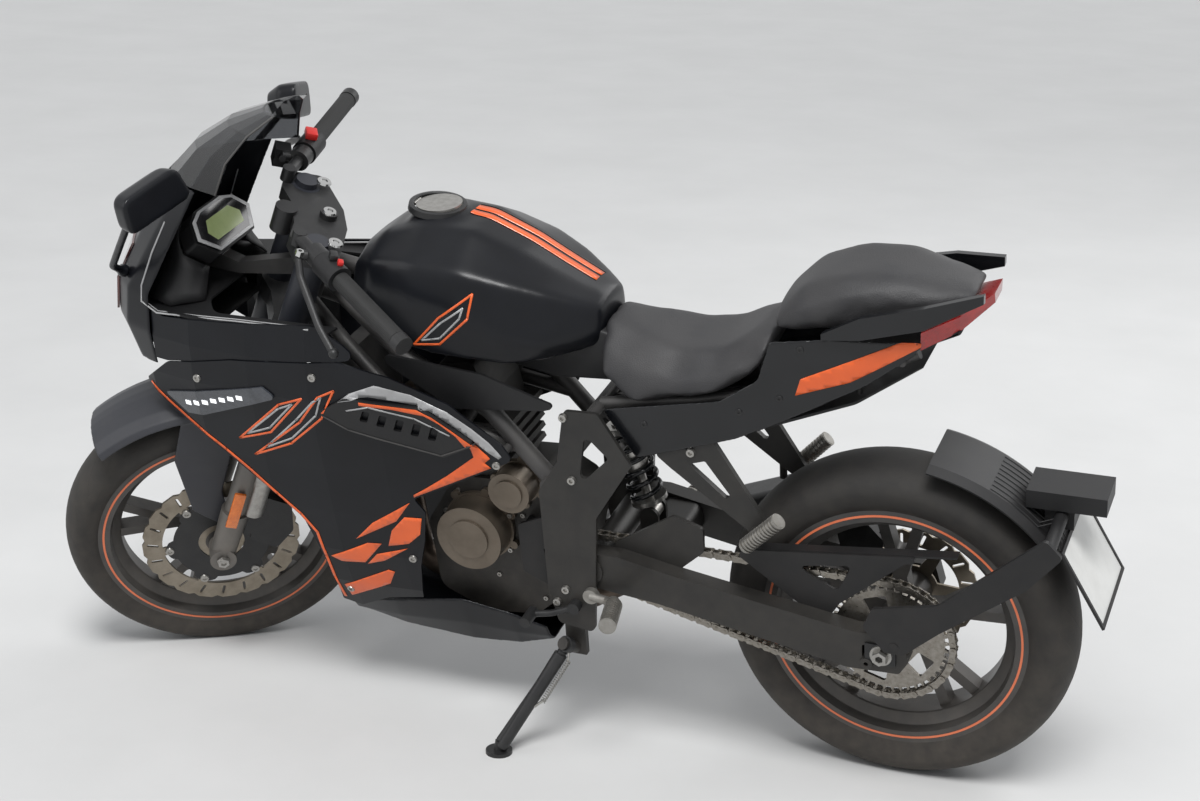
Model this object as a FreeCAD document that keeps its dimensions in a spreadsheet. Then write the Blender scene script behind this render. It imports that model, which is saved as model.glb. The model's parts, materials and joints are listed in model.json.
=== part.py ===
"""Small fully faired sport bike, leaning on its side stand with the bars at the left stop.

Everything is drawn in the bike's own frame: X forward, Y to the rider's left, Z up, upright
and with the bars straight, its origin on the ground under the rear axle.  Parts that turn with
the bars are drawn in the fork's frame, whose Z axis is the steering axis, and wheels in a frame
at their own centre.  The last step leans the whole bike until its stand's foot is on the floor.
All lengths are in millimetres and all angles in degrees.
"""
import FreeCAD, Part
import math
import os
from FreeCAD import Placement, Rotation, Vector

os.makedirs("parts", exist_ok=True)
doc = FreeCAD.newDocument("sport_bike")

# Driving dimensions: name and value
SIZES = (
    ("wheelbase", 1360), ("rake", 23.6), ("trail", 94),
    ("lean", 10), ("bar_lock", 34.6),
    ("front_radius", 291), ("front_width", 112), ("front_rim_width", 92),
    ("rear_radius", 309), ("rear_width", 142), ("rear_rim_width", 118),
    ("rim_flange", 232), ("rim_drop", 196), ("rim_wall", 8),
    ("hub_radius", 34), ("hub_nose_radius", 30), ("axle_radius", 10), ("axle_bore_radius", 5), ("running_gap", 0.3),
    ("seat_gap", 0.3), ("spacer_gap", 1),
    ("spoke_count", 5), ("spoke_thickness", 30),
    ("front_disc_radius", 150), ("rear_disc_radius", 115), ("disc_thickness", 4.5),
    ("front_disc_side", 59.5), ("rear_disc_side", 84), ("disc_gap", 5), ("hub_right_side", 56),
    ("fork_half_spacing", 96), ("fork_outer_radius", 27), ("fork_inner_radius", 21.5),
    ("fork_cap_height", 11), ("fork_cap_radius", 20), ("fork_tube_bottom", 560), ("casting_top", 415),
    ("top_clamp_low", 1008), ("top_clamp_height", 25),
    ("low_clamp_low", 800), ("low_clamp_height", 34), ("stem_radius", 17),
    ("head_tube_radius", 30), ("clamp_gap", 0.3),
    ("bar_radius", 11), ("grip_radius", 16), ("bar_end_side", 384),
    ("frame_tube_radius", 16), ("subframe_tube_radius", 11),
    ("engine_half_width", 76), ("cover_depth", 30),
    ("pivot_height", 385), ("pivot_forward", 525), ("arm_inside", 104), ("arm_width", 34),
    ("chain_side", 80), ("chain_width", 16), ("chain_pitch", 15.875),
    ("front_teeth", 14), ("rear_teeth", 44), ("drive_forward", 600), ("drive_height", 395),
    ("sprocket_width", 6), ("panel_wall", 4), ("heel_plate_side", 142), ("heel_plate_wall", 8),
    ("plate_length", 190), ("plate_height", 145), ("plate_wall", 2),
    ("cap_radius", 40), ("cap_forward", 818), ("cap_height", 987),
    ("stand_forward", 569), ("stand_side", 158), ("stand_height", 234),
    ("foot_forward", 671), ("foot_side", 272), ("stand_bolt_radius", 6),
)

sheet = doc.addObject("Spreadsheet::Sheet", "dims")
for row, (name, number) in enumerate(SIZES, start=1):
    sheet.set(f"A{row}", name)
    sheet.set(f"B{row}", str(number))
    sheet.setAlias(f"B{row}", name)
doc.recompute()


def size(name):
    """A driving dimension, as a plain number."""
    return float(sheet.get(name))


# Frames of the moving groups
RAKE = size("rake")
BEHIND_FOOT = size("wheelbase") + size("trail")
TO_FORK = Placement(Vector(BEHIND_FOOT, 0, 0), Rotation(Vector(0, 1, 0), -RAKE))
AXLE_UP = math.hypot(size("trail"), size("front_radius"))
AXLE_TILT = math.atan2(size("trail"), size("front_radius"))
FORK_OFFSET = AXLE_UP * math.sin(math.radians(RAKE) - AXLE_TILT)
AXLE_RISE = AXLE_UP * math.cos(math.radians(RAKE) - AXLE_TILT)
TURN = Placement(Vector(), Rotation(Vector(0, 0, 1), size("bar_lock")))
FRONT_AXLE = Placement(Vector(FORK_OFFSET, 0, AXLE_RISE), Rotation(Vector(0, 1, 0), RAKE))
REAR_AXLE = Placement(Vector(0, 0, size("rear_radius")), Rotation())


# Outlines: a point is (across, up) or (across, up, corner radius)
def rounded(points, closed=True):
    """Lines and tangent arcs through the points, as geometry in a flat plane or in space."""
    corners = [Vector(p[0], p[1], 0) if len(p) < 4 else Vector(*p[:3]) for p in points]
    radii = [(p[-1] if len(p) in (3, 4) else 0) for p in points]
    joints = []
    for i, corner in enumerate(corners):
        before = corners[i - 1] - corner
        after = corners[(i + 1) % len(corners)] - corner
        if radii[i] <= 0 or (not closed and i in (0, len(corners) - 1)):
            joints.append((corner, None, corner))
            continue
        before.normalize()
        after.normalize()
        half = before.getAngle(after) / 2
        reach = radii[i] / math.tan(half)
        inward = (before + after).normalize()
        middle = corner + inward * (radii[i] / math.sin(half) - radii[i])
        joints.append((corner + before * reach, middle, corner + after * reach))
    edges = []
    for i, (start, middle, end) in enumerate(joints):
        if middle is not None:
            edges.append(Part.Arc(start, middle, end))
        if closed or i < len(joints) - 1:
            follow = joints[(i + 1) % len(joints)][0]
            if (follow - end).Length > 1e-6:
                edges.append(Part.LineSegment(end, follow))
    return edges


def circle(across, up, radius):
    """A full circle for a sketch."""
    return [Part.Circle(Vector(across, up, 0), Vector(0, 0, 1), radius)]


def ring_of(points, count, start=0.0):
    """Copies of an outline turned about the origin."""
    copies = []
    for i in range(int(count)):
        turn = Rotation(Vector(0, 0, 1), start + 360.0 * i / count)
        outline = []
        for point in points:
            spot = turn.multVec(Vector(point[0], point[1], 0))
            outline.append((spot.x, spot.y) + tuple(point[2:]))
        copies.append(outline)
    return copies


def mirrored(points):
    """The other side of an outline, so that both halves share their numbers."""
    return [(-p[0],) + tuple(p[1:]) for p in reversed(points)]


def inset(points, wall):
    """The open line of points moved to its left by a wall's thickness."""
    moved = []
    for i, point in enumerate(points):
        before = points[max(i - 1, 0)]
        after = points[min(i + 1, len(points) - 1)]
        along = Vector(after[0] - before[0], after[1] - before[1], 0).normalize()
        moved.append((point[0] - along.y * wall, point[1] + along.x * wall))
    return moved


def strip(points, wall):
    """A closed band along an open line."""
    return list(points) + list(reversed(inset(points, wall)))


# The lean, which rests both tyres on the floor
def tyre_outside(radius, width, rim_width):
    """The (radius, side) line of a tyre from its left bead to the middle of its crown."""
    flange, gap = size("rim_flange"), size("seat_gap")
    half, seat = width / 2, rim_width / 2
    return [(flange - 13 + gap, seat - 9 - gap), (flange + gap, seat - 4 - gap),
            (flange + gap, seat + 1, 3), (radius - 44, half, 20), (radius - 21, half - 4, 20),
            (radius - 5, half * 0.42, 45)]


def lean_of_bike():
    """The lean on the stand, with the small dive that the turned front wheel gives."""
    roll = Placement(Vector(), Rotation(Vector(1, 0, 0), -size("lean")))

    def low_point(placement, radius, width, rim_width):
        axle = placement.Rotation.multVec(Vector(0, 1, 0))
        level = math.sqrt(1 - axle.z ** 2)
        half = tyre_outside(radius, width, rim_width)
        line = half + [(p[0], -p[1]) + tuple(p[2:]) for p in reversed(half)]
        spots = [spot for edge in rounded(line, closed=False)
                 for spot in edge.toShape().discretize(41)]
        return placement.Base.z - max(spot.x * level - spot.y * axle.z for spot in spots)

    dive = 0.0
    for step in range(12):
        lean = Placement(Vector(), Rotation(Vector(0, 1, 0), dive)) * roll
        rear = low_point(lean * REAR_AXLE, size("rear_radius"), size("rear_width"),
                         size("rear_rim_width"))
        front_place = lean * TO_FORK * TURN * FRONT_AXLE
        front = low_point(front_place, size("front_radius"), size("front_width"),
                          size("front_rim_width"))
        dive += math.degrees((front - rear) / size("wheelbase"))
    return Placement(Vector(0, 0, -rear), Rotation()) * lean


LEAN = lean_of_bike()
FLOOR_TO_BIKE = LEAN.inverse()
GROUPS = {
    "bike": LEAN,
    "fork": LEAN * TO_FORK * TURN,
    "steered": LEAN * TO_FORK * TURN * TO_FORK.inverse(),
    "front_wheel": LEAN * TO_FORK * TURN * FRONT_AXLE,
    "rear_wheel": LEAN * REAR_AXLE,
}
nodes = []


def node(piece, label, group, local=None):
    """Name a finished sub-part and give it its place on the leaning bike."""
    piece.Label = label
    nodes.append((piece, GROUPS[group] * (local or Placement())))
    return piece


# Bodies
def body_named(name):
    body = doc.addObject("PartDesign::Body", name)
    body.AllowCompound = True
    return body


def set_size(thing, prop, value):
    """Bind a property to the sheet when the value is an expression, else set it."""
    if isinstance(value, str):
        thing.setExpression(prop, value)
    else:
        setattr(thing, prop, value)


def sketch(body, role, outlines, offset=0):
    """A sketch on one of the body's own planes, moved along the plane's normal."""
    plane = [f for f in body.Origin.OriginFeatures if f.Role == role][0]
    drawing = body.newObject("Sketcher::SketchObject", body.Name + "_outline")
    drawing.AttachmentSupport = [(plane, "")]
    drawing.MapMode = "FlatFace"
    if isinstance(offset, str):
        drawing.setExpression("AttachmentOffset.Base.z", offset)
    else:
        drawing.AttachmentOffset = Placement(Vector(0, 0, offset), Rotation())
    for outline in outlines:
        edges = outline if hasattr(outline[0], "toShape") else rounded(outline)
        for edge in edges:
            drawing.addGeometry(edge, False)
    return drawing


def pad(body, role, outlines, length, offset=0, reverse=False):
    drawing = sketch(body, role, outlines, offset)
    feature = body.newObject("PartDesign::Pad", body.Name + "_pad")
    feature.Profile = drawing
    set_size(feature, "Length", length)
    feature.Reversed = reverse
    body.Tip = feature
    return feature


def slab(body, outlines, low_side, width):
    """A flat piece in the XZ plane, from y = low_side outwards over the width."""
    if isinstance(low_side, str):
        return pad(body, "XZ_Plane", outlines, width, f"0 - ({low_side})", True)
    return pad(body, "XZ_Plane", outlines, width, -low_side, True)


def turned(body, outline, angle=360.0):
    """A revolution about the frame's Y axis of a (radius, side) outline."""
    drawing = sketch(body, "XY_Plane", [outline])
    feature = body.newObject("PartDesign::Revolution", body.Name + "_turned")
    feature.Profile = drawing
    feature.ReferenceAxis = (drawing, ["V_Axis"])
    feature.Angle = angle
    body.Tip = feature
    return feature


def loft(body, role, sections, ruled=True):
    """A loft through (offset, outline) sections on parallel planes."""
    drawings = [sketch(body, role, [outline], offset) for offset, outline in sections]
    feature = body.newObject("PartDesign::AdditiveLoft", body.Name + "_loft")
    feature.Profile = drawings[0]
    feature.Sections = drawings[1:]
    feature.Ruled = ruled
    body.Tip = feature
    return feature


# Plain solids
def rod(name, radius, start, end, hollow=None):
    """A round bar between two points."""
    bar = doc.addObject("Part::Cylinder", name)
    along = Vector(*end) - Vector(*start)
    set_size(bar, "Radius", radius)
    bar.Height = along.Length
    bar.Placement = Placement(Vector(*start), Rotation(Vector(0, 0, 1), along))
    if hollow is None:
        return bar
    bore = doc.addObject("Part::Cylinder", name + "_bore")
    set_size(bore, "Radius", hollow)
    bore.Height = along.Length + 2
    along.normalize()
    bore.Placement = Placement(Vector(*start) - along, Rotation(Vector(0, 0, 1), along))
    return cut(name + "_tube", bar, [bore])


def block(name, low, high, place=None):
    box = doc.addObject("Part::Box", name)
    box.Length, box.Width, box.Height = (b - a for a, b in zip(low, high))
    box.Placement = (place or Placement()) * Placement(Vector(*low), Rotation())
    return box


def pipe(name, points, radius):
    """A bent round bar: straight runs joined by tangent arcs."""
    route = [tuple(p) if len(p) == 4 else tuple(p) + (0,) for p in points]
    path = Part.Wire([edge.toShape() for edge in rounded(route, closed=False)])
    start = Vector(*points[0][:3])
    along = Vector(*points[1][:3]) - start
    section = Part.Wire([Part.Circle(start, along, radius).toShape()])
    feature = doc.addObject("Part::Feature", name)
    feature.Shape = path.makePipeShell([section], True, False)
    return feature


def fuse(name, parts):
    union = doc.addObject("Part::MultiFuse", name)
    union.Shapes = parts
    union.Refine = False
    return union


def cut(name, base, tools):
    """The base less its tools."""
    whole = base
    for i, tool in enumerate(tools):
        part = doc.addObject("Part::Cut", f"{name}_{i}")
        part.Base = whole
        part.Tool = tool
        whole = part
    return whole


def together(name, parts):
    """Pieces of one sub-part that don't touch each other."""
    group = doc.addObject("Part::Compound", name)
    group.Links = parts
    return group


def both_sides(make):
    """One piece for each side of the bike: the left is +1, the right -1."""
    return [make(side) for side in (1, -1)]


# Wheels
def wheel_rim(name, width, spoke_root, group, right, left):
    """Cast rim: a dropped-centre band, forked spokes and a hub stepped for what it carries.

    Right and left are the hub's (shoulder, end) distances from the middle plane.
    """
    flange, drop, wall = size("rim_flange"), size("rim_drop"), size("rim_wall")
    half = width / 2
    hub, nose = size("hub_radius"), size("hub_nose_radius")
    bore = size("axle_radius") + size("running_gap")
    body = body_named(name)
    side = [(flange, half), (flange, half - 4), (flange - 13, half - 9), (flange - 15, half - 26),
            (drop, half - 34)]
    inner = [(drop - wall, half - 30, 4), (flange - 26, half - 16, 4), (flange - 22, half)]
    band = side + [(r, -y) for r, y in reversed(side)]
    band += [(p[0], -p[1]) + tuple(p[2:]) for p in reversed(inner)] + inner
    turned(body, band)
    drawing = sketch(body, "XY_Plane", [[
        (bore, -right[1]), (nose, -right[1]), (nose, -right[0]), (hub, -right[0]),
        (hub, left[0]), (nose, left[0]), (nose, left[1]), (bore, left[1])]])
    feature = body.newObject("PartDesign::Revolution", name + "_hub")
    feature.Profile = drawing
    feature.ReferenceAxis = (drawing, ["V_Axis"])
    feature.Angle = 360
    body.Tip = feature
    reach = drop - wall + 3
    spread = 0.17 * reach
    arm = [(hub - 6, -spoke_root), (reach * 0.42, -spoke_root * 0.62), (reach, -spread - 11),
           (reach, -spread + 9), (reach * 0.55, 0, 9), (reach, spread - 9),
           (reach, spread + 11), (reach * 0.42, spoke_root * 0.62), (hub - 6, spoke_root)]
    spokes = ring_of(arm, size("spoke_count"), 18)
    slab(body, spokes, "-dims.spoke_thickness / 2", "dims.spoke_thickness")
    return node(body, name, group)


def wheel_tyre(name, radius, width, rim_width, group):
    """Tyre on its rim: a round crown, bulged walls and an air space."""
    flange = size("rim_flange")
    half, seat = width / 2, rim_width / 2
    outer = tyre_outside(radius, width, rim_width)
    bead = outer[0][0]
    inner = [(radius - 12, half * 0.4, 30), (radius - 26, half - 13, 14),
             (flange + 6, seat - 10, 4), (bead, seat - 16)]
    line = outer + [(p[0], -p[1]) + tuple(p[2:]) for p in reversed(outer)]
    line += [(p[0], -p[1]) + tuple(p[2:]) for p in reversed(inner)] + inner
    body = body_named(name)
    turned(body, line)
    return node(body, name, group)


def brake_disc(name, radius, inside, lobes, group, side):
    """Floating disc: a waved and slotted band, bobbins and a spoked carrier."""
    body = body_named(name)
    wave = []
    for i in range(lobes):
        for share, depth in ((0.0, 0.0), (0.55, 0.0), (0.78, 5.0)):
            angle = 2 * math.pi * (i + share) / lobes
            wave.append(((radius - depth) * math.cos(angle), (radius - depth) * math.sin(angle)))
    middle = (radius + inside) / 2
    slot = [(middle - 11, -5, 2.4), (middle + 11, 0, 2.4), (middle + 9, 5, 2.4), (middle - 13, 0, 2.4)]
    slots = ring_of(slot, lobes, 9)
    slab(body, [wave, circle(0, 0, inside)] + slots, side, "dims.disc_thickness")
    carrier = [(size("hub_radius") + 3, -13), (inside + 3, -9), (inside + 3, 9),
               (size("hub_radius") + 3, 13)]
    bore = size("hub_nose_radius") + size("seat_gap")
    ring = [circle(0, 0, size("hub_radius") + 9), circle(0, 0, bore)]
    slab(body, ring, side, "dims.disc_thickness")
    slab(body, ring_of(carrier, 6), side, "dims.disc_thickness")
    return node(body, name, group)


def sprocket(name, teeth, pitch_radius, bore, windows, side, width):
    """Toothed ring whose tips stay just inside the chain's plates."""
    tip = pitch_radius - 8.0
    root = tip - 6.5
    outline = []
    for i in range(int(teeth)):
        for share, radius in ((0.0, root), (0.3, root), (0.42, tip), (0.58, tip), (0.7, root)):
            angle = 2 * math.pi * (i + share) / teeth
            outline.append((radius * math.cos(angle), radius * math.sin(angle)))
    body = body_named(name)
    slab(body, [outline, circle(0, 0, bore)] + windows, side, width)
    return body


GAP = size("seat_gap")
DISC_WALL = size("disc_thickness")
front_hub_left = (size("front_disc_side") - GAP, size("front_disc_side") + DISC_WALL)
rear_hub_right = (size("rear_disc_side") - GAP, size("rear_disc_side") + DISC_WALL)
SPROCKET_LOW = size("chain_side") + (size("chain_width") - size("sprocket_width")) / 2
rear_hub_left = (SPROCKET_LOW - GAP, SPROCKET_LOW + size("sprocket_width"))
wheel_rim("front_rim", size("front_rim_width"), 20, "front_wheel",
          (size("hub_right_side") - 6, size("hub_right_side")), front_hub_left)
wheel_tyre("front_tyre", size("front_radius"), size("front_width"), size("front_rim_width"),
           "front_wheel")
brake_disc("front_disc", size("front_disc_radius"), 112, 20, "front_wheel",
           "dims.front_disc_side")
wheel_rim("rear_rim", size("rear_rim_width"), 20, "rear_wheel", rear_hub_right, rear_hub_left)
wheel_tyre("rear_tyre", size("rear_radius"), size("rear_width"), size("rear_rim_width"),
           "rear_wheel")
brake_disc("rear_disc", size("rear_disc_radius"), 82, 16, "rear_wheel",
           "-dims.rear_disc_side - dims.disc_thickness")

# Final drive
FRONT_PITCH = size("chain_pitch") / (2 * math.sin(math.pi / size("front_teeth")))
REAR_PITCH = size("chain_pitch") / (2 * math.sin(math.pi / size("rear_teeth")))
window = [(52, -17, 4), (84, -22, 5), (84, 22, 5), (52, 17, 4)]
rear_sprocket = sprocket("rear_sprocket", size("rear_teeth"), REAR_PITCH,
                         size("hub_nose_radius") + GAP, ring_of(window, 5),
                         SPROCKET_LOW, "dims.sprocket_width")
node(rear_sprocket, "rear_sprocket", "rear_wheel")


def chain_line(offset):
    """The chain's closed path at a distance from its pitch line, as points link by link."""
    front = Vector(size("drive_forward"), size("drive_height"), 0)
    rear = Vector(0, size("rear_radius"), 0)
    gap = front - rear
    slope = math.atan2(gap.y, gap.x)
    lead = math.acos((REAR_PITCH - FRONT_PITCH) / gap.Length)
    top, low = slope + lead, slope - lead
    straight = math.sqrt(gap.Length ** 2 - (REAR_PITCH - FRONT_PITCH) ** 2)
    rear_arc = REAR_PITCH * (2 * math.pi - 2 * lead)
    front_arc = FRONT_PITCH * 2 * lead
    total = 2 * straight + rear_arc + front_arc
    links = 2 * round(total / size("chain_pitch") / 2)
    points = []
    for i in range(2 * links):
        run = total * i / (2 * links)
        waist = offset if i % 2 == 0 else offset * 0.72
        if run < straight:
            angle = top
            base = rear + Vector(math.cos(top), math.sin(top), 0) * REAR_PITCH
            spot = base + Vector(math.sin(top), -math.cos(top), 0) * run
        elif run < straight + front_arc:
            angle = top - (run - straight) / FRONT_PITCH
            spot = front + Vector(math.cos(angle), math.sin(angle), 0) * FRONT_PITCH
        elif run < 2 * straight + front_arc:
            angle = low
            base = front + Vector(math.cos(low), math.sin(low), 0) * FRONT_PITCH
            spot = base + Vector(math.sin(low), -math.cos(low), 0) * (run - straight - front_arc)
        else:
            angle = low - (run - 2 * straight - front_arc) / REAR_PITCH
            spot = rear + Vector(math.cos(angle), math.sin(angle), 0) * REAR_PITCH
        out = Vector(math.cos(angle), math.sin(angle), 0)
        points.append((spot.x + out.x * waist, spot.y + out.y * waist))
    return points


chain = body_named("chain")
slab(chain, [chain_line(7.4), chain_line(-7.4)], "dims.chain_side", "dims.chain_width")
node(chain, "chain", "bike")
drive = sprocket("drive_sprocket", size("front_teeth"), FRONT_PITCH, 11, [],
                 SPROCKET_LOW, "dims.sprocket_width")
drive.Placement = Placement(Vector(size("drive_forward"), 0, size("drive_height")), Rotation())

# Fork and bars, in the fork's frame
FORK_SIDE = size("fork_half_spacing")
CLAMP_BORE = size("fork_outer_radius") + size("clamp_gap")


def clamp(name, low, height, nose):
    """A fork bridge: a waisted plate round both tubes and the stem."""
    body = body_named(name)
    reach = FORK_SIDE + size("fork_outer_radius") + 9
    front = FORK_OFFSET + 34
    half = [(FORK_OFFSET - 36, reach, 14), (front, reach, 14), (front + nose, FORK_SIDE - 20, 10),
            (front - 12 + nose, 34, 10)]
    outline = half + [(p[0], -p[1], p[2]) for p in reversed(half)] + [(-32, -30, 14), (-32, 30, 14)]
    holes = [circle(FORK_OFFSET, side * FORK_SIDE, CLAMP_BORE) for side in (1, -1)]
    pad(body, "XY_Plane", [outline] + holes, height, low)
    return body


top_clamp = clamp("top_clamp", "dims.top_clamp_low", "dims.top_clamp_height", 12)
low_clamp = clamp("low_clamp", "dims.low_clamp_low", "dims.low_clamp_height", 0)
STEM_LOW, STEM_TOP = size("low_clamp_low"), size("top_clamp_low") + size("top_clamp_height")
stem = rod("stem", "dims.stem_radius", (0, 0, STEM_LOW), (0, 0, STEM_TOP))
stem_nut = rod("stem_nut", 16, (0, 0, STEM_TOP - 1), (0, 0, STEM_TOP + 11))
switch_body = rod("ignition_switch", 20, (FORK_OFFSET + 46, 0, STEM_TOP - 40),
                  (FORK_OFFSET + 46, 0, STEM_TOP + 8))
node(fuse("clamps", [top_clamp, low_clamp, stem, stem_nut, switch_body]), "fork_clamps", "fork")


def fork_tube(side):
    low, high = size("fork_tube_bottom"), STEM_TOP
    tube = rod("fork_tube", "dims.fork_outer_radius", (FORK_OFFSET, side * FORK_SIDE, low),
               (FORK_OFFSET, side * FORK_SIDE, high))
    cap = rod("fork_cap", "dims.fork_cap_radius", (FORK_OFFSET, side * FORK_SIDE, high),
              (FORK_OFFSET, side * FORK_SIDE, high + size("fork_cap_height")))
    return fuse("fork_leg", [tube, cap])


node(together("fork_tubes_pair", both_sides(fork_tube)), "fork_tubes", "fork")


def slider(side):
    """Inner tube and the axle casting below it."""
    inner = rod("inner_tube", "dims.fork_inner_radius",
                (FORK_OFFSET, side * FORK_SIDE, size("casting_top") - 5),
                (FORK_OFFSET, side * FORK_SIDE, size("fork_tube_bottom")))
    casting = doc.addObject("Part::Cone", "casting")
    casting.Radius1, casting.Radius2 = 24, 27
    casting.Height = size("casting_top") - AXLE_RISE
    casting.Placement = Placement(Vector(FORK_OFFSET, side * FORK_SIDE, AXLE_RISE), Rotation())
    boss = rod("axle_boss", 25, (FORK_OFFSET, side * (FORK_SIDE - 24), AXLE_RISE),
               (FORK_OFFSET, side * (FORK_SIDE + 24), AXLE_RISE))
    return fuse("slider", [inner, casting, boss])


FORK_OUT = FORK_SIDE + 28
AXLE_ENDS = ((FORK_OFFSET, -FORK_OUT, AXLE_RISE), (FORK_OFFSET, FORK_OUT, AXLE_RISE))
front_axle = rod("front_axle", "dims.axle_radius", *AXLE_ENDS)
axle_bore = rod("axle_bore", "dims.axle_bore_radius", (FORK_OFFSET, -FORK_OUT - 1, AXLE_RISE),
                (FORK_OFFSET, FORK_OUT + 1, AXLE_RISE))
node(cut("sliders_bored", fuse("slider_set", both_sides(slider) + [front_axle]), [axle_bore]),
     "fork_sliders", "fork")

BAR_IN = (FORK_OFFSET + 36, 100, STEM_TOP + 14)
BAR_OUT = (-75, size("bar_end_side"), STEM_TOP + 27)


def on_bar(share, side):
    """A point along the handlebar tube, from its inner to its outer end."""
    spot = [a + (b - a) * share for a, b in zip(BAR_IN, BAR_OUT)]
    return (spot[0], side * spot[1], spot[2])


def handlebar(side):
    tube = rod("bar", "dims.bar_radius", on_bar(0, side), on_bar(0.97, side))
    end = rod("bar_end", "dims.grip_radius + 1", on_bar(0.97, side), on_bar(1.03, side))
    mount = rod("bar_mount", 12, (BAR_IN[0], side * BAR_IN[1], STEM_TOP + GAP),
                (BAR_IN[0], side * BAR_IN[1], STEM_TOP + 26))
    return fuse("handlebar", [tube, end, mount])


node(together("bars", both_sides(handlebar)), "handlebars", "fork")
node(together("grips_pair", [
    rod("grip", "dims.grip_radius", on_bar(0.42, side), on_bar(0.965, side), "dims.bar_radius + dims.seat_gap")
    for side in (1, -1)]), "grips", "fork")
node(together("switches_pair", [
    rod("switch_box", 23, on_bar(0.25, side), on_bar(0.415, side), "dims.bar_radius + dims.seat_gap")
    for side in (1, -1)]), "switch_boxes", "fork")


def lever(side):
    """Perch ring on the bar and the lever hanging in front of the grip."""
    ring = rod("perch", 20, on_bar(0.15, side), on_bar(0.24, side), "dims.bar_radius + dims.seat_gap")
    start = on_bar(0.195, side)
    arm = pipe("perch_arm", [(start[0] + 18.5, start[1], start[2]),
                             (start[0] + 34, start[1], start[2] - 2)], 9)
    blade = pipe("lever_blade", [(start[0] + 34, start[1] - side * 12, start[2] - 2),
                                 (start[0] + 30, start[1] + side * 40, start[2] - 18, 40),
                                 (start[0] - 2, start[1] + side * 130, start[2] - 52, 120),
                                 (start[0] - 26, start[1] + side * 176, start[2] - 68)], 6.5)
    tip = doc.addObject("Part::Sphere", "lever_tip")
    tip.Radius = 9
    tip.Placement = Placement(Vector(start[0] - 26, start[1] + side * 176, start[2] - 68), Rotation())
    return fuse("lever_set", [ring, arm, blade, tip])


reservoir = block("reservoir", (56, -188, STEM_TOP - 12), (85, -157, STEM_TOP + 24))
node(together("levers", [lever(1), fuse("right_set", [lever(-1), reservoir])]), "levers", "fork")

# Mudguard round the front wheel, then its side plates, then the front caliper
GUARD_SIDE = 75.5
guard_half = [(312, GUARD_SIDE), (322, 68), (331, 48), (336, 20), (337, 0)]
guard_line = guard_half + [(r, -y) for r, y in reversed(guard_half[:-1])]
GUARD_START, GUARD_SWEEP = 57.0, 75.0
guard = body_named("mudguard_shell")
turned(guard, strip(guard_line, 3.5), GUARD_SWEEP)
guard.Placement = FRONT_AXLE * Placement(
    Vector(), Rotation(Vector(0, 1, 0), -GUARD_START - GUARD_SWEEP))


def guard_plate(side):
    """Side plate from the shell down to the front flank of the axle casting."""
    body = body_named("guard_plate")
    outline = [(170, 588, 6), (89, 614, 8), (64, 560, 10), (60, 440, 10), (48.2, 412),
               (45.7, 357, 6), (103, 381, 10), (163, 496, 10)]
    low = GUARD_SIDE - 4 if side > 0 else -GUARD_SIDE
    slab(body, [outline], low, 4)
    return body


leg_rooms = [rod("leg_room", "dims.fork_outer_radius + 3", (FORK_OFFSET, side * FORK_SIDE, 480),
                 (FORK_OFFSET, side * FORK_SIDE, 700)) for side in (1, -1)]
node(cut("mudguard_open", fuse("mudguard_set", [guard] + both_sides(guard_plate)), leg_rooms),
     "mudguard", "fork")

caliper = body_named("front_caliper_body")
slab(caliper, [[(-20, 452, 8), (-72, 440, 14), (-90, 380, 14), (-70, 330, 12), (-14, 345, 8),
                (-8, 400, 6)]], "dims.front_disc_side - 14", 50)
SLOT = size("disc_thickness") + 2 * size("disc_gap")
DISC_LOW = size("front_disc_side") - size("disc_gap")
caliper_slot = rod("caliper_slot", "dims.front_disc_radius + dims.disc_gap",
                   (FORK_OFFSET, DISC_LOW, AXLE_RISE), (FORK_OFFSET, DISC_LOW + SLOT, AXLE_RISE))
caliper_arm = block("caliper_arm", (-14, 82, 360),
                    (FORK_OFFSET - size("fork_outer_radius") - GAP, 98, 412))
node(fuse("caliper_set", [cut("caliper_open", caliper, [caliper_slot]), caliper_arm]),
     "front_caliper", "fork")

# Frame: head tube and a pair of bent main tubes with braces on each side
HEAD_LOW = size("low_clamp_low") + size("low_clamp_height") + 4
HEAD_TOP = size("top_clamp_low") - 4
axis_up = Vector(-math.sin(math.radians(RAKE)), 0, math.cos(math.radians(RAKE)))


def on_axis(height):
    spot = Vector(BEHIND_FOOT, 0, 0) + axis_up * height
    return (spot.x, spot.y, spot.z)


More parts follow.
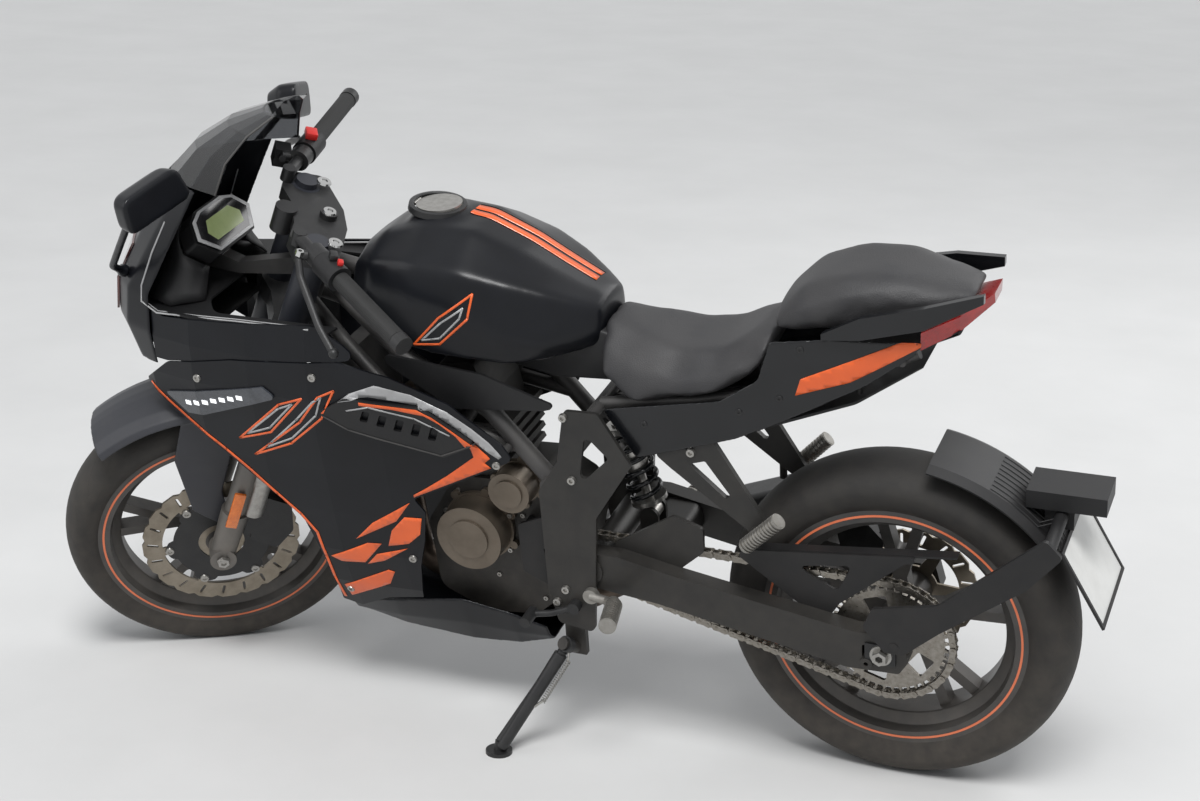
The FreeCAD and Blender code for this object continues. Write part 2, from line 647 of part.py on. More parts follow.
SHOCK_LOW, SHOCK_TOP = Vector(452, 0, 440), Vector(510, 0, 640)
EYE_HALF, EYE_PIN = 16, 6
EAR_LOW, EAR_HIGH = EYE_HALF + GAP, EYE_HALF + GAP + 8
head_tube = rod("head_tube", "dims.head_tube_radius", on_axis(HEAD_LOW), on_axis(HEAD_TOP))
head_bore = rod("head_bore", "dims.stem_radius + dims.running_gap", on_axis(HEAD_LOW - 2),
                on_axis(HEAD_TOP + 2))
frame_parts = [head_tube]
HEEL_IN = size("heel_plate_side") - GAP
for side in (1, -1):
    frame_parts += [
        pipe("upper_rail", [(1058, side * 14, 860), (990, side * 58, 822, 60),
                            (850, side * 116, 748, 90), (700, side * 116, 668, 90),
                            (592, side * 116, 545)], size("frame_tube_radius")),
        pipe("lower_rail", [(1098, side * 14, 800), (1000, side * 66, 742, 60),
                            (860, side * 112, 640, 60), (640, side * 112, 600)],
             size("frame_tube_radius") - 3),
        pipe("brace", [(850, side * 116, 748), (800, side * 112, 632)], 11),
        pipe("brace_back", [(720, side * 116, 682), (760, side * 112, 622)], 11),
        rod("head_mount", 9, (748, side * (66 + GAP), 650), (748, side * 113, 650)),
        rod("tank_pad", 9, (900, side * 95, 775), (900, side * 95, 794.9)),
        rod("fairing_stay", 7, (664, side * 112, 606), (664, side * 159.7, 606)),
        rod("shock_ear", 17, (SHOCK_TOP.x, side * EAR_LOW, SHOCK_TOP.z),
            (SHOCK_TOP.x, side * EAR_HIGH, SHOCK_TOP.z))]
frame_parts += [
    rod("cross_tube", 13, (592, -HEEL_IN, 545), (592, HEEL_IN, 545)),
    rod("shock_bridge", 11, (529, -HEEL_IN, 658.5), (529, HEEL_IN, 658.5)),
    rod("shock_pin", EYE_PIN, (SHOCK_TOP.x, -EAR_HIGH, SHOCK_TOP.z),
        (SHOCK_TOP.x, EAR_HIGH, SHOCK_TOP.z))]
# The stay ahead of the steering head carries the instrument and the nose
stay = body_named("nose_stay")
slab(stay, [[(1074, 866), (1074, 838), (1230, 824, 20), (1300, 832, 20), (1449.4, 832),
             (1443.2, 846), (1326, 846, 10), (1294.7, 900.4), (1266.4, 866.7), (1260.8, 857.2),
             (1230, 846, 10), (1120, 866, 20)]], -14, 28)
frame_parts.append(stay)
node(cut("frame_bored", fuse("frame_tubes", frame_parts), [head_bore]), "frame", "bike")

# Seat subframe
subframe_parts = []
for side in (1, -1):
    subframe_parts += [
        pipe("seat_rail", [(500, side * 92, 695.4), (330, side * 88, 721, 80),
                           (120, side * 76, 770, 80), (-40, side * 60, 842)],
             size("subframe_tube_radius")),
        pipe("seat_strut", [(452, side * 95, 630), (236, side * 90, 741)], 9),
        rod("rail_boss", 9, (500, side * 92, 693), (500, side * HEEL_IN, 693)),
        rod("strut_boss", 7, (458, side * 95, 630), (458, side * HEEL_IN, 630)),
        rod("tail_boss", 6, (420, side * 95, 646), (420, side * 116, 640)),
        rod("tail_boss_back", 6, (-20, side * 62, 833), (-20, side * 92.6, 835)),
        rod("seat_post", 8, (86, side * 71, 786), (86, side * 71, 879.6)),
        rod("tray_post", 4, (60, side * 50, 794), (60, side * 50, 750.4))]
subframe_parts += [rod("rail_tie", 9, (330, -86, 721), (330, 86, 721)),
                   rod("rail_tie_back", 9, (60, -67, 796), (60, 67, 796))]
node(fuse("subframe_tubes", subframe_parts), "subframe", "bike")

# Engine: crankcase, inclined barrel and head
engine = body_named("engine_block")
crankcase = [(594, 290, 20), (660, 232, 20), (760, 222, 20), (850, 262, 30), (862, 400, 30),
             (800, 500, 20), (650, 508, 20), (584, 470, 20), (568, 400, 20)]
slab(engine, [crankcase], "-dims.engine_half_width", "2 * dims.engine_half_width")
slab(engine, [circle(size("drive_forward"), size("drive_height"), 11 - GAP)],
     "dims.engine_half_width", "dims.chain_side + dims.chain_width - dims.engine_half_width")
slab(engine, [[(690, 490), (802, 490), (846, 660), (820, 716, 16), (752, 728, 16), (724, 660)]],
     -66, 132)
slab(engine, [[(x, z) for x, z in ((684, 520 + 22 * i), (815, 520 + 22 * i), (819, 528 + 22 * i),
                                   (688, 528 + 22 * i))] for i in range(5)], -76, 152)
node(engine, "engine", "bike")
ENGINE_OUT = size("engine_half_width") + GAP


def round_cover(name, forward, height, radius, low, depth, boss):
    """A domed engine cover with a raised middle and a ring of bolt lugs."""
    body = body_named(name)
    lugs = [(forward + (radius + 4) * math.cos(2 * math.pi * i / 7),
             height + (radius + 4) * math.sin(2 * math.pi * i / 7)) for i in range(7)]
    sign = 1 if low > 0 else -1
    first = low if sign > 0 else low - 10
    slab(body, [circle(forward, height, radius)], first, 10)
    for x, z in lugs:
        slab(body, [circle(x, z, 8)], first, 10)
    steps = ((10, 0.93, depth - 14), (depth - 4, boss, 4))
    for start, share, height_step in steps:
        base = low + start if sign > 0 else low - start - height_step
        slab(body, [circle(forward, height, radius * share)], base, height_step)
    return body


generator = round_cover("generator", 756, 409, 67, ENGINE_OUT, 62, 0.56)
starter = round_cover("starter", 672, 512, 42, ENGINE_OUT, 58, 0.62)
node(fuse("left_covers", [generator, starter]), "engine_covers", "bike")
clutch = round_cover("clutch", 690, 390, 84, -ENGINE_OUT, 54, 0.6)
pump = round_cover("pump", 800, 452, 36, -ENGINE_OUT, 42, 0.6)
node(fuse("right_covers", [clutch, pump]), "clutch_cover", "bike")

drive_cover = body_named("drive_cover")
slab(drive_cover, [[(560, 330, 10), (612, 322, 14), (664, 345, 8), (668, 440, 8), (600, 470, 20),
                    (552, 440, 16)],
                   [(578, 352, 2.5), (586, 352, 2.5), (598, 400, 2.5), (590, 400, 2.5)],
                   [(602, 350, 2.5), (610, 350, 2.5), (622, 398, 2.5), (614, 398, 2.5)]], 104, 8)
slab(drive_cover, [circle(655, 352, 6), circle(655, 436, 6)], ENGINE_OUT, 104 - ENGINE_OUT)
node(together("drive_end", [drive_cover, drive]), "sprocket_cover", "bike")

# Cooling
radiator = body_named("radiator_core")
core = [(-150, 430, 6), (150, 430, 6), (150, 700, 6), (-150, 700, 6)]
slats = [[(-126, 442 + 12.4 * i), (126, 442 + 12.4 * i), (126, 450 + 12.4 * i),
          (-126, 450 + 12.4 * i)] for i in range(20)]
pad(radiator, "YZ_Plane", [core] + slats, 10, 1032)
pad(radiator, "YZ_Plane", [core], 22, 1010)
brackets = [rod("radiator_bracket", 6, (1020, side * 72.5, 692), (1006, side * 68.5, 728.3))
            for side in (1, -1)]
node(fuse("radiator_set", [radiator] + brackets), "radiator", "bike")

# Exhaust: header under the engine and a silencer on the right
CAN_ROOT = Vector(372, -188, 340)
CAN_ALONG = Vector(-0.93, -0.06, 0.34).normalize()
can_mouth = CAN_ROOT - CAN_ALONG * GAP
can_run = CAN_ROOT - CAN_ALONG * 58
header = pipe("header", [(839, -20, 629.7), (930, -22, 606.2, 40), (958, -30, 480, 60),
                         (940, -36, 240, 50), (800, -36, 200, 60), (620, -30, 200, 50),
                         (490, -176, 222, 45), tuple(can_run) + (40,), tuple(can_mouth)], 21)
node(header, "exhaust_pipe", "bike")
can = body_named("muffler_can")


def can_section(scale):
    half = [(40 * scale, 50 * scale, 24 * scale), (40 * scale, -50 * scale, 24 * scale)]
    return half + [(-x, z, r) for x, z, r in reversed(half)]


loft(can, "XY_Plane", [(0, can_section(0.55)), (34, can_section(1.0)), (205, can_section(1.0)),
                       (238, can_section(0.72))])
can_place = Placement(CAN_ROOT, Rotation(Vector(0, 0, 1), CAN_ALONG))
tail_bore = rod("tail_bore", 15, (0, 0, 200), (0, 0, 250))
node(cut("muffler_open", can, [tail_bore]), "muffler", "bike", can_place)

# Swingarm with its axle, spool bosses and front lug plate
arm_outline = [(552, 418, 14), (470, 420, 20), (363, 398, 40), (50, 346, 20), (-34, 346, 8),
               (-46, 300, 10), (-30, 274, 8), (60, 272, 30), (400, 338, 30), (530, 352, 20)]
adjuster = [(-24, 322, 3), (-24, 297, 3), (34, 297, 3), (34, 322, 3)]
SPOOL = (26, 287)
SPOOL_FACE = size("arm_inside") + size("arm_width") + 5
swing_parts = []
for side in (1, -1):
    arm = body_named("swing_leg")
    low = "dims.arm_inside" if side > 0 else "-dims.arm_inside - dims.arm_width"
    slab(arm, [arm_outline, adjuster], low, "dims.arm_width")
    swing_parts.append(arm)
    face = side * (size("arm_inside") + size("arm_width"))
    swing_parts.append(rod("spool_boss", 11, (SPOOL[0], face - side * 2, SPOOL[1]),
                           (SPOOL[0], side * SPOOL_FACE, SPOOL[1])))
    swing_parts.append(rod("axle_block", 15, (0, side * size("arm_inside"), 309.5), (0, face, 309.5)))
PIVOT = (size("pivot_forward"), size("pivot_height"))
swing_parts.append(rod("pivot_tube", 26, (PIVOT[0], -HEEL_IN, PIVOT[1]),
                       (PIVOT[0], HEEL_IN, PIVOT[1])))
brace = body_named("swing_brace")
slab(brace, [[(392, 352, 16), (470, 354, 16), (476, 412, 16), (400, 404, 16)]], -105, 210)
swing_parts.append(brace)
arm_cover = body_named("arm_cover")
slab(arm_cover, [[(492, 424, 8), (375, 500, 14), (322, 482, 10), (322, 436, 8), (372, 390, 8),
                  (440, 384, 6)]], 98, 8)
swing_parts.append(arm_cover)
AXLE_Z = size("rear_radius")
swing_parts.append(rod("rear_axle", "dims.axle_radius", (0, -151, AXLE_Z), (0, 151, AXLE_Z)))
SPACER = size("spacer_gap")
swing_parts += [rod("spacer_left", 17, (0, rear_hub_left[1] + SPACER, AXLE_Z), (0, 106, AXLE_Z)),
                rod("spacer_right", 17, (0, -rear_hub_right[1] - SPACER, AXLE_Z),
                    (0, -106, AXLE_Z))]
for side in (1, -1):
    swing_parts.append(rod("shock_foot", 17, (SHOCK_LOW.x, side * EAR_LOW, SHOCK_LOW.z),
                           (SHOCK_LOW.x, side * EAR_HIGH, SHOCK_LOW.z)))
    ear_low, ear_high = sorted((side * EAR_LOW, side * EAR_HIGH))
    swing_parts.append(block("shock_ear", (SHOCK_LOW.x - 17, ear_low, 400),
                             (SHOCK_LOW.x + 17, ear_high, SHOCK_LOW.z)))
swing_parts.append(rod("shock_low_pin", EYE_PIN, (SHOCK_LOW.x, -EAR_HIGH, SHOCK_LOW.z),
                       (SHOCK_LOW.x, EAR_HIGH, SHOCK_LOW.z)))
spool_holes = [rod("spool_hole", 4, (SPOOL[0], side * (SPOOL_FACE - 16), SPOOL[1]),
                   (SPOOL[0], side * (SPOOL_FACE + 1), SPOOL[1])) for side in (1, -1)]
node(cut("swingarm_open", fuse("swingarm_set", swing_parts), spool_holes), "swingarm", "bike")

guard_body = body_named("chain_guard")
GUARD_OUT = size("arm_inside") - GAP
slab(guard_body, [[(250, 452, 8), (-118, 494, 6), (-30, 470, 10), (82, 374, 8), (104, 338, 8),
                   (126, 342, 6), (262, 440, 6)],
                  [(60, 452, 6), (160, 436, 6), (86, 398, 8)]], GUARD_OUT - 5, 5)
slab(guard_body, [[(250, 449), (-116, 491), (-117, 495), (251, 453)]], GUARD_OUT - 26, 22)
node(guard_body, "chain_guard", "bike")

# Rear damper
shock_turn = Rotation(Vector(0, 0, 1), SHOCK_TOP - SHOCK_LOW)
shock_place = Placement(SHOCK_LOW, shock_turn)
shock_length = (SHOCK_TOP - SHOCK_LOW).Length
damper = fuse("damper", [
    rod("damper_rod", 8, (0, 0, 0), (0, 0, shock_length - 20)),
    rod("damper_eye", 14, (0, -EYE_HALF, 0), (0, EYE_HALF, 0)),
    rod("damper_top_eye", 14, (0, -EYE_HALF, shock_length), (0, EYE_HALF, shock_length)),
    rod("damper_cup", 33, (0, 0, 22), (0, 0, 30)),
    rod("damper_body", 21, (0, 0, 86), (0, 0, shock_length - 26)),
    rod("damper_neck", 10, (0, 0, shock_length - 28), (0, 0, shock_length)),
    rod("damper_collar", 33, (0, 0, shock_length - 42), (0, 0, shock_length - 30))])
eye_bore = EYE_PIN + size("running_gap")
eyes = [rod("eye_bore", eye_bore, (0, -EYE_HALF - 1, height), (0, EYE_HALF + 1, height))
        for height in (0, shock_length)]
node(cut("damper_open", damper, eyes), "shock_damper", "bike", shock_place)
COIL_WIRE = 4.6
coil_low, coil_high = 30 + COIL_WIRE + GAP, shock_length - 42 - COIL_WIRE - GAP
coil_path = Part.makeHelix((coil_high - coil_low) / 5.5, coil_high - coil_low, 27.5)
coil_path.translate(Vector(0, 0, coil_low))
coil_start = coil_path.Edges[0].valueAt(coil_path.Edges[0].FirstParameter)
coil_section = Part.Wire([Part.Circle(coil_start, Vector(0, 1, 0.2), COIL_WIRE).toShape()])
coil = doc.addObject("Part::Feature", "coil")
coil.Shape = Part.Wire(coil_path.Edges).makePipeShell([coil_section], True, True)
node(coil, "shock_spring", "bike", shock_place)

rear_caliper = body_named("rear_caliper_body")
slab(rear_caliper, [[(62, 356, 8), (128, 372, 10), (138, 420, 14), (84, 436, 14), (50, 400, 8)]],
     GAP - size("arm_inside"), 34)
slab(rear_caliper, [[(44, 332, 6), (92, 332, 6), (112, 388, 8), (64, 388, 8)]],
     GAP - size("arm_inside"), 6)
rear_slot = rod("rear_slot", "dims.rear_disc_radius + dims.disc_gap",
                (0, -size("rear_disc_side") - size("disc_thickness") - size("disc_gap"), AXLE_Z),
                (0, -size("rear_disc_side") + size("disc_gap"), AXLE_Z))
node(cut("rear_caliper_open", rear_caliper, [rear_slot]), "rear_caliper", "bike")

# Heel plates, the black frame plates beside the rider's boots
heel_parts = []
for side in (1, -1):
    plate = body_named("heel_plate")
    low = "dims.heel_plate_side" if side > 0 else "-dims.heel_plate_side - dims.heel_plate_wall"
    boss_low, boss_high = sorted((side * ENGINE_OUT, side * (HEEL_IN + 2)))
    slab(plate, [circle(584, 318, 8)], boss_low, boss_high - boss_low)
    slab(plate, [[(430, 612, 8), (486, 704, 10), (548, 702, 10), (566, 600, 14), (604, 540, 12),
                  (600, 345, 12), (584, 274, 12), (516, 264, 12), (500, 500, 16)],
                 [(470, 620, 6), (512, 662, 8), (528, 560, 8)]],
         low, "dims.heel_plate_wall")
    heel_parts.append(plate)

HEEL_OUT = size("heel_plate_side") + size("heel_plate_wall")


def rider_peg(side):
    """Folding footpeg with a boss on the heel plate and a ribbed rubber."""
    boss = rod("peg_boss", 14, (516, side * (HEEL_OUT + 0.3), 345), (516, side * (HEEL_OUT + 12), 345))
    hanger = pipe("peg_hanger", [(516, side * (HEEL_OUT + 8), 345), (484, side * (HEEL_OUT + 14), 345, 10),
                                 (468, side * (HEEL_OUT + 26), 350)], 8)
    bar = rod("peg_bar", 12, (468, side * (HEEL_OUT + 22), 350), (446, side * 258, 358))
    return fuse("rider_peg", [boss, hanger, bar])


node(together("rider_pegs_pair", both_sides(rider_peg)), "rider_pegs", "bike")


def foot_lever(side):
    """Gear lever on the left, brake pedal on the right."""
    pivot = rod("lever_pivot", 11, (548, side * (HEEL_OUT + 0.3), 318), (548, side * (HEEL_OUT + 18), 318))
    arm = pipe("lever_arm", [(548, side * (HEEL_OUT + 12), 318), (592, side * (HEEL_OUT + 14), 300, 30),
                             (628, side * (HEEL_OUT + 20), 296)], 6)
    toe = rod("lever_toe", 10, (628, side * (HEEL_OUT + 10), 296), (628, side * (HEEL_OUT + 52), 296))
    return fuse("foot_lever", [pivot, arm, toe])


node(together("foot_levers_pair", both_sides(foot_lever)), "foot_levers", "bike")

# Passenger brackets: an open V plate each side, with the folded peg
PASSENGER_SIDE, PASSENGER_WALL = 104.3, 11.2
passenger_parts = []
for side in (1, -1):
    plate = body_named("passenger_plate")
    low = PASSENGER_SIDE if side > 0 else -PASSENGER_SIDE - PASSENGER_WALL
    slab(plate, [[(398, 622, 10), (372, 600, 8), (222, 488, 8), (196, 500, 8), (216, 534, 10),
                  (296, 664, 10), (322, 660, 8), (330, 640, 8), (390, 640, 8)],
                 [(340, 612, 4), (310, 622, 4), (238, 522, 6)]], low, PASSENGER_WALL)
    peg = rod("passenger_peg", 11, (236, side * 141, 482), (172, side * 150, 548))
    knuckle = rod("peg_knuckle", 10, (222, side * 110, 500), (222, side * 146, 500))
    pieces = [plate, peg, knuckle]
    if side < 0:
        pieces.append(pipe("muffler_hanger", [(268, -110, 530), (268, -186, 530, 20),
                                              (268, -186, 434.6)], 7))
    passenger_parts.append(fuse("passenger_bracket", pieces))
node(together("passenger_pair", passenger_parts), "passenger_pegs", "bike")

# Tank: a solid shell form with a shoulder crease, its top and shoulder set below the filler
TANK = (
    # forward, top drop, top half, shoulder half, shoulder drop, side half, side height, low half, low
    (948, 62, 34, 92, 82, 108, 868, 100, 824),
    (900, 29, 52, 122, 57, 140, 884, 128, 798),
    (818, 4, 62, 140, 49, 154, 880, 140, 776),
    (730, 12, 58, 142, 57, 158, 862, 146, 772),
    (650, 47, 46, 128, 75, 154, 824, 140, 768),
    (590, 81, 36, 104, 95, 134, 806, 112, 772),
    (545, 105, 28, 80, 115, 98, 812, 80, 778),
    (505, 125, 20, 54, 135, 62, 816, 50, 786),
)
tank_sections = []
for forward, top, top_half, shoulder, edge, side_half, side_z, low_half, low in TANK:
    half = [(low_half, low), (side_half, side_z), (shoulder, size("cap_height") - edge),
            (top_half, size("cap_height") - top)]
    tank_sections.append((forward, half + mirrored(half)))
tank = body_named("tank_shell")
loft(tank, "YZ_Plane", tank_sections)
cap_place = Placement(Vector(size("cap_forward"), 0, size("cap_height")), Rotation())
cap_ring = doc.addObject("Part::Cylinder", "cap_ring")
cap_ring.setExpression("Radius", "dims.cap_radius + 10")
cap_ring.Height = 14
cap_ring.Placement = cap_place * Placement(Vector(0, 0, -12), Rotation())
node(fuse("tank_set", [tank, cap_ring]), "fuel_tank", "bike")
lid = doc.addObject("Part::Cylinder", "lid")
lid.setExpression("Radius", "dims.cap_radius")
lid.Height = 6
lid.Placement = cap_place * Placement(Vector(0, 0, 2.3), Rotation())
lid_hinge = rod("lid_hinge", 3.2, (size("cap_forward") + size("cap_radius") + 3, -12, size("cap_height") + 6),
                (size("cap_forward") + size("cap_radius") + 3, 12, size("cap_height") + 6))
lid_tab = block("lid_tab", (size("cap_forward") + 30, -10, size("cap_height") + 2.8),
                (size("cap_forward") + size("cap_radius") + 3, 10, size("cap_height") + 8))
node(fuse("filler_lid", [lid, lid_hinge, lid_tab]), "filler_cap", "bike")


# Cushions
def cushion(name, rows):
    """A solid cushion: rows of forward, top, crown half, edge half, edge height, low half, low."""
    sections = []
    for forward, top, crown, edge, edge_z, low_half, low in rows:
        half = [(low_half, low), (edge, edge_z), (crown, top)]
        sections.append((forward, half + mirrored(half)))
    body = body_named(name)
    loft(body, "YZ_Plane", sections)
    return node(body, name, "bike")


cushion("rider_seat", (
    (498, 836, 40, 84, 800, 108, 762), (440, 812, 60, 112, 778, 126, 716),
    (360, 796, 70, 124, 766, 130, 736), (290, 806, 76, 126, 780, 126, 752),
    (225, 846, 74, 112, 824, 116, 796), (204, 862, 70, 104, 846, 108, 826)))
cushion("passenger_seat", (
    (196, 893, 56, 92, 882, 98, 868), (150, 938, 70, 104, 912, 108, 874),
    (80, 962, 72, 106, 932, 106, 882), (0, 966, 66, 96, 944, 98, 900),
    (-80, 956, 50, 76, 944, 80, 918), (-132, 950, 30, 46, 944, 50, 936)))

# Tail: side panels, an under tray, side rails and the light
tail_body = body_named("tail_panels")
TAIL = (
    # forward, side half low, side half high
    (500, 122, 134), (300, 116, 134), (180, 106, 126), (60, 88, 114), (-60, 66, 90), (-150, 30, 50))
TAIL_WALL = 4
for side in (1, -1):
    sections = []
    for forward, low_half, high_half in TAIL:
        outer = [(side * low_half, 600), (side * (low_half + high_half) / 2, 720),
                 (side * high_half, 830), (side * (high_half - 6), 940)]
        sections.append((forward, outer + [(y - side * TAIL_WALL, z) for y, z in reversed(outer)]))
    loft(tail_body, "YZ_Plane", sections)
tail_outline = [(487, 702, 6), (278, 744, 10), (212, 790, 20), (190, 862, 6), (92, 874, 10),
                (-54, 872, 4), (-40, 850, 4), (40, 790, 10), (175, 712, 10), (255, 672, 10), (432, 612, 10)]
around = [(-400, 400), (700, 400), (700, 1100), (-400, 1100)]
drawing = sketch(tail_body, "XZ_Plane", [around, tail_outline], -300)
trim = tail_body.newObject("PartDesign::Pocket", "tail_trim")
trim.Profile = drawing
trim.Length = 600
trim.Reversed = True
tail_body.Tip = trim
node(tail_body, "tail_panels", "bike")

light = body_named("tail_light")
loft(light, "YZ_Plane", [
    (-48, [(86.4, 858), (85.6, 888), (-85.6, 888), (-86.4, 858)]),
    (-105, [(60, 886), (66, 914), (-66, 914), (-60, 886)]),
    (-152, [(24, 926), (30, 944), (-30, 944), (-24, 926)])])
node(light, "tail_light", "bike")

rails = body_named("grab_rails")
RAIL = ((104, 112, 873.2, 886), (40, 116, 882, 922), (-60, 106, 906, 946), (-146, 72, 946, 962))
for side in (1, -1):
    loft(rails, "YZ_Plane", [
        (forward, [(side * half, low), (side * (half + 12), low + 2), (side * (half + 12), high),
                   (side * half, high)]) for forward, half, low, high in RAIL])
node(rails, "grab_rails", "bike")

tray = body_named("under_tray")
slab(tray, [[(436, 606), (300, 640, 60), (60, 742, 60), (-50, 822), (-52, 826), (60, 747, 60),
             (300, 645, 60), (436, 611)]], -74, 148)
node(tray, "under_tray", "bike")

# Number plate carrier on its arm from the swingarm
HANGER_SIDE = 143.5
HANGER_ROOT = (-24, 336)
hanger = body_named("hanger_arm")
slab(hanger, [[(30, 366, 10), (14, 404, 10), (-95, 428, 20), (-268, 582, 8), (-296, 552, 8),
               (-240, 484, 10), (-100, 376, 20), (-40, 322, 8), (-8, 322, 8)]], HANGER_SIDE, 8)
FENDER_RADIUS = size("rear_radius") + 26
fender = body_named("rear_fender")
turned(fender, strip([(FENDER_RADIUS - 8, 78), (FENDER_RADIUS, 62), (FENDER_RADIUS, -62),
                      (FENDER_RADIUS - 8, -78)], 4), 42)
fender.Placement = REAR_AXLE * Placement(Vector(), Rotation(Vector(0, 1, 0), -142))
plate_tilt = Placement(Vector(-322, -5, 463), Rotation(Vector(0, 1, 0), 29))
carrier_parts = [
    hanger,
    fender,
    rod("hanger_bolt", 8, (HANGER_ROOT[0], size("arm_inside") + size("arm_width") + GAP,
                           HANGER_ROOT[1]), (HANGER_ROOT[0], HANGER_SIDE + 9, HANGER_ROOT[1])),
    rod("hanger_tie", 11, (-272, HANGER_SIDE + 2, 560), (-272, -30, 560)),
    block("hanger_block", (-345, -40, 574), (-214, 40, 606)),
    block("hanger_root", (-292, -30, 536), (-244, 30, 580)),
    block("plate_back", (4, -70, -40), (12, 70, 96), plate_tilt)]
node(fuse("plate_hanger_set", carrier_parts), "plate_hanger", "bike")
number_plate = block("plate_blank", (-2, -95, -72.5), (0, 95, 72.5))
number_plate.setExpression("Width", "dims.plate_length")
number_plate.setExpression("Height", "dims.plate_height")
number_plate.setExpression("Length", "dims.plate_wall")
node(number_plate, "number_plate", "bike", plate_tilt * Placement(Vector(3.7, 0, 0), Rotation()))

# Fairing skin: half width along the bike, times a share that changes with height
PLAN = ((640, 172), (760, 190), (880, 204), (1000, 212), (1120, 208), (1240, 196), (1340, 172),
        (1420, 128))
PROFILE = ((160, 0.42), (200, 0.50), (280, 0.66), (360, 0.76), (450, 0.83), (540, 0.89),
           (620, 0.95), (690, 1.0), (760, 1.0), (840, 0.93))
SURROUND = [(300, 50), (1700, 50), (1700, 1300), (300, 1300)]


def skin_panel(name, side, outlines, outside=0.0, wall=None):
    """A trimmed piece of the fairing's skin, moved out by a distance."""
    body = body_named(name)
    wall = wall or size("panel_wall")
    sections = []
    for forward, half in PLAN:
        outer = [(side * (half * share + outside), height) for height, share in PROFILE]
        inner = [(y - side * wall, z) for y, z in reversed(outer)]
        sections.append((forward, outer + inner))
    loft(body, "YZ_Plane", sections)
    drawing = sketch(body, "XZ_Plane", [SURROUND] + outlines)
    trim = body.newObject("PartDesign::Pocket", name + "_trim")
    trim.Profile = drawing
    trim.Type = "ThroughAll"
    trim.Reversed = side < 0
    body.Tip = trim
    return body


FAIRING = [(1366, 664, 6), (1325, 628), (1264, 587), (1178, 520), (1107, 463), (1068, 422, 30),
           (1050, 360), (1036, 270), (1040, 222, 4), (1003, 212), (936, 248), (864, 262),
           (850, 344, 10), (832, 405, 10), (820, 470, 10), (838, 498, 6), (680, 578, 20),
           (644, 598, 12), (660, 630, 20), (743, 706, 40), (846, 750, 40), (936, 770, 30),
           (1150, 748, 60), (1300, 716, 40)]
VENT = [(985, 672, 8), (930, 706, 20), (790, 700, 20), (700, 630, 10), (762, 600, 12), (930, 640, 20)]
VENT_SLOTS = [[(906 - 30 * i, 664 - 7 * i, 3), (892 - 30 * i, 662 - 7 * i, 3),
               (882 - 30 * i, 684 - 6 * i, 3), (896 - 30 * i, 686 - 6 * i, 3)] for i in range(5)]
LAMP = [(1318, 652, 4), (1270, 618, 4), (1233, 622, 6), (1064, 688, 6), (1091, 707, 6)]
for side, word in ((1, "left"), (-1, "right")):
    node(skin_panel("fairing_" + word, side, [FAIRING]), "fairing_" + word, "bike")
node(together("vents", [skin_panel("vent", side, [VENT] + VENT_SLOTS, 8.3, 8.0)
                        for side in (1, -1)]), "side_vents", "bike")
node(together("lamp_strips", [skin_panel("lamp", side, [LAMP], 4.3, 4.0)
                              for side in (1, -1)]), "running_lamps", "bike")

# Belly pan: a trough closed below
pan_sections = []
for forward, half_top, top, half_low, low in ((1030, 106.4, 218, 66, 176), (930, 118.4, 240, 78, 164),
                                              (790, 122, 268, 82, 158), (700, 110, 246, 74, 160),
                                              (636, 92, 216, 60, 172)):
    half = [(-half_top, top), (-(half_top + half_low) / 2, (top + low) / 2 - 8), (-half_low, low)]
    line = half + [(-y, z) for y, z in reversed(half)]
    pan_sections.append((forward, strip(line, 4)))
pan = body_named("belly_pan")
loft(pan, "YZ_Plane", pan_sections)
node(pan, "belly_pan", "bike")

# Nose cowl, drawn at level cuts from the lower lip to the screen's base
NOSE = (
    # height, points of the left half from the rear to the tip
    (700, ((1330, 168), (1372, 150), (1402, 110), (1416, 60), (1420, 0))),
    (770, ((1330, 177), (1392, 152), (1436, 106), (1456, 56), (1462, 0))),
    (835, ((1330, 164), (1386, 142), (1428, 102), (1450, 54), (1456, 0))),
    (940, ((1270, 150), (1320, 130), (1364, 94), (1390, 50), (1396, 0))),
    (1032, ((1216, 140), (1258, 118), (1298, 84), (1326, 44), (1334, 0))),
)


def level_cut(half, wall):
    line = [(x, y) for x, y in half] + [(x, -y) for x, y in reversed(half[:-1])]
    return strip(line, -wall)


nose = body_named("nose_cowl")
loft(nose, "XY_Plane", [(height, level_cut(half, size("panel_wall"))) for height, half in NOSE])
node(nose, "nose_cowl", "bike")

UPPER_SIDE = [(1328, 717, 4), (1328, 806), (1299, 801), (1128, 816), (986, 829, 20), (930, 800, 30),
              (900, 776, 10), (936, 771, 30), (1150, 749, 60), (1300, 717, 40)]
node(together("upper_sides", [skin_panel("upper_side", side, [UPPER_SIDE], -3)
                              for side in (1, -1)]), "upper_panels", "bike")

SCREEN = (
    (1032.4, ((1170, 148), (1234, 124), (1290, 87), (1322, 44), (1331, 0))),
    (1086, ((1150, 132), (1196, 110), (1240, 78), (1266, 40), (1276, 0))),
    (1126, ((1120, 100), (1150, 84), (1180, 60), (1200, 30), (1208, 0))),
    (1150, ((1088, 60), (1104, 52), (1120, 38), (1132, 20), (1136, 0))),
)
screen = body_named("windscreen")
loft(screen, "XY_Plane", [(height, level_cut(half, 4)) for height, half in SCREEN])
node(screen, "windscreen", "bike")

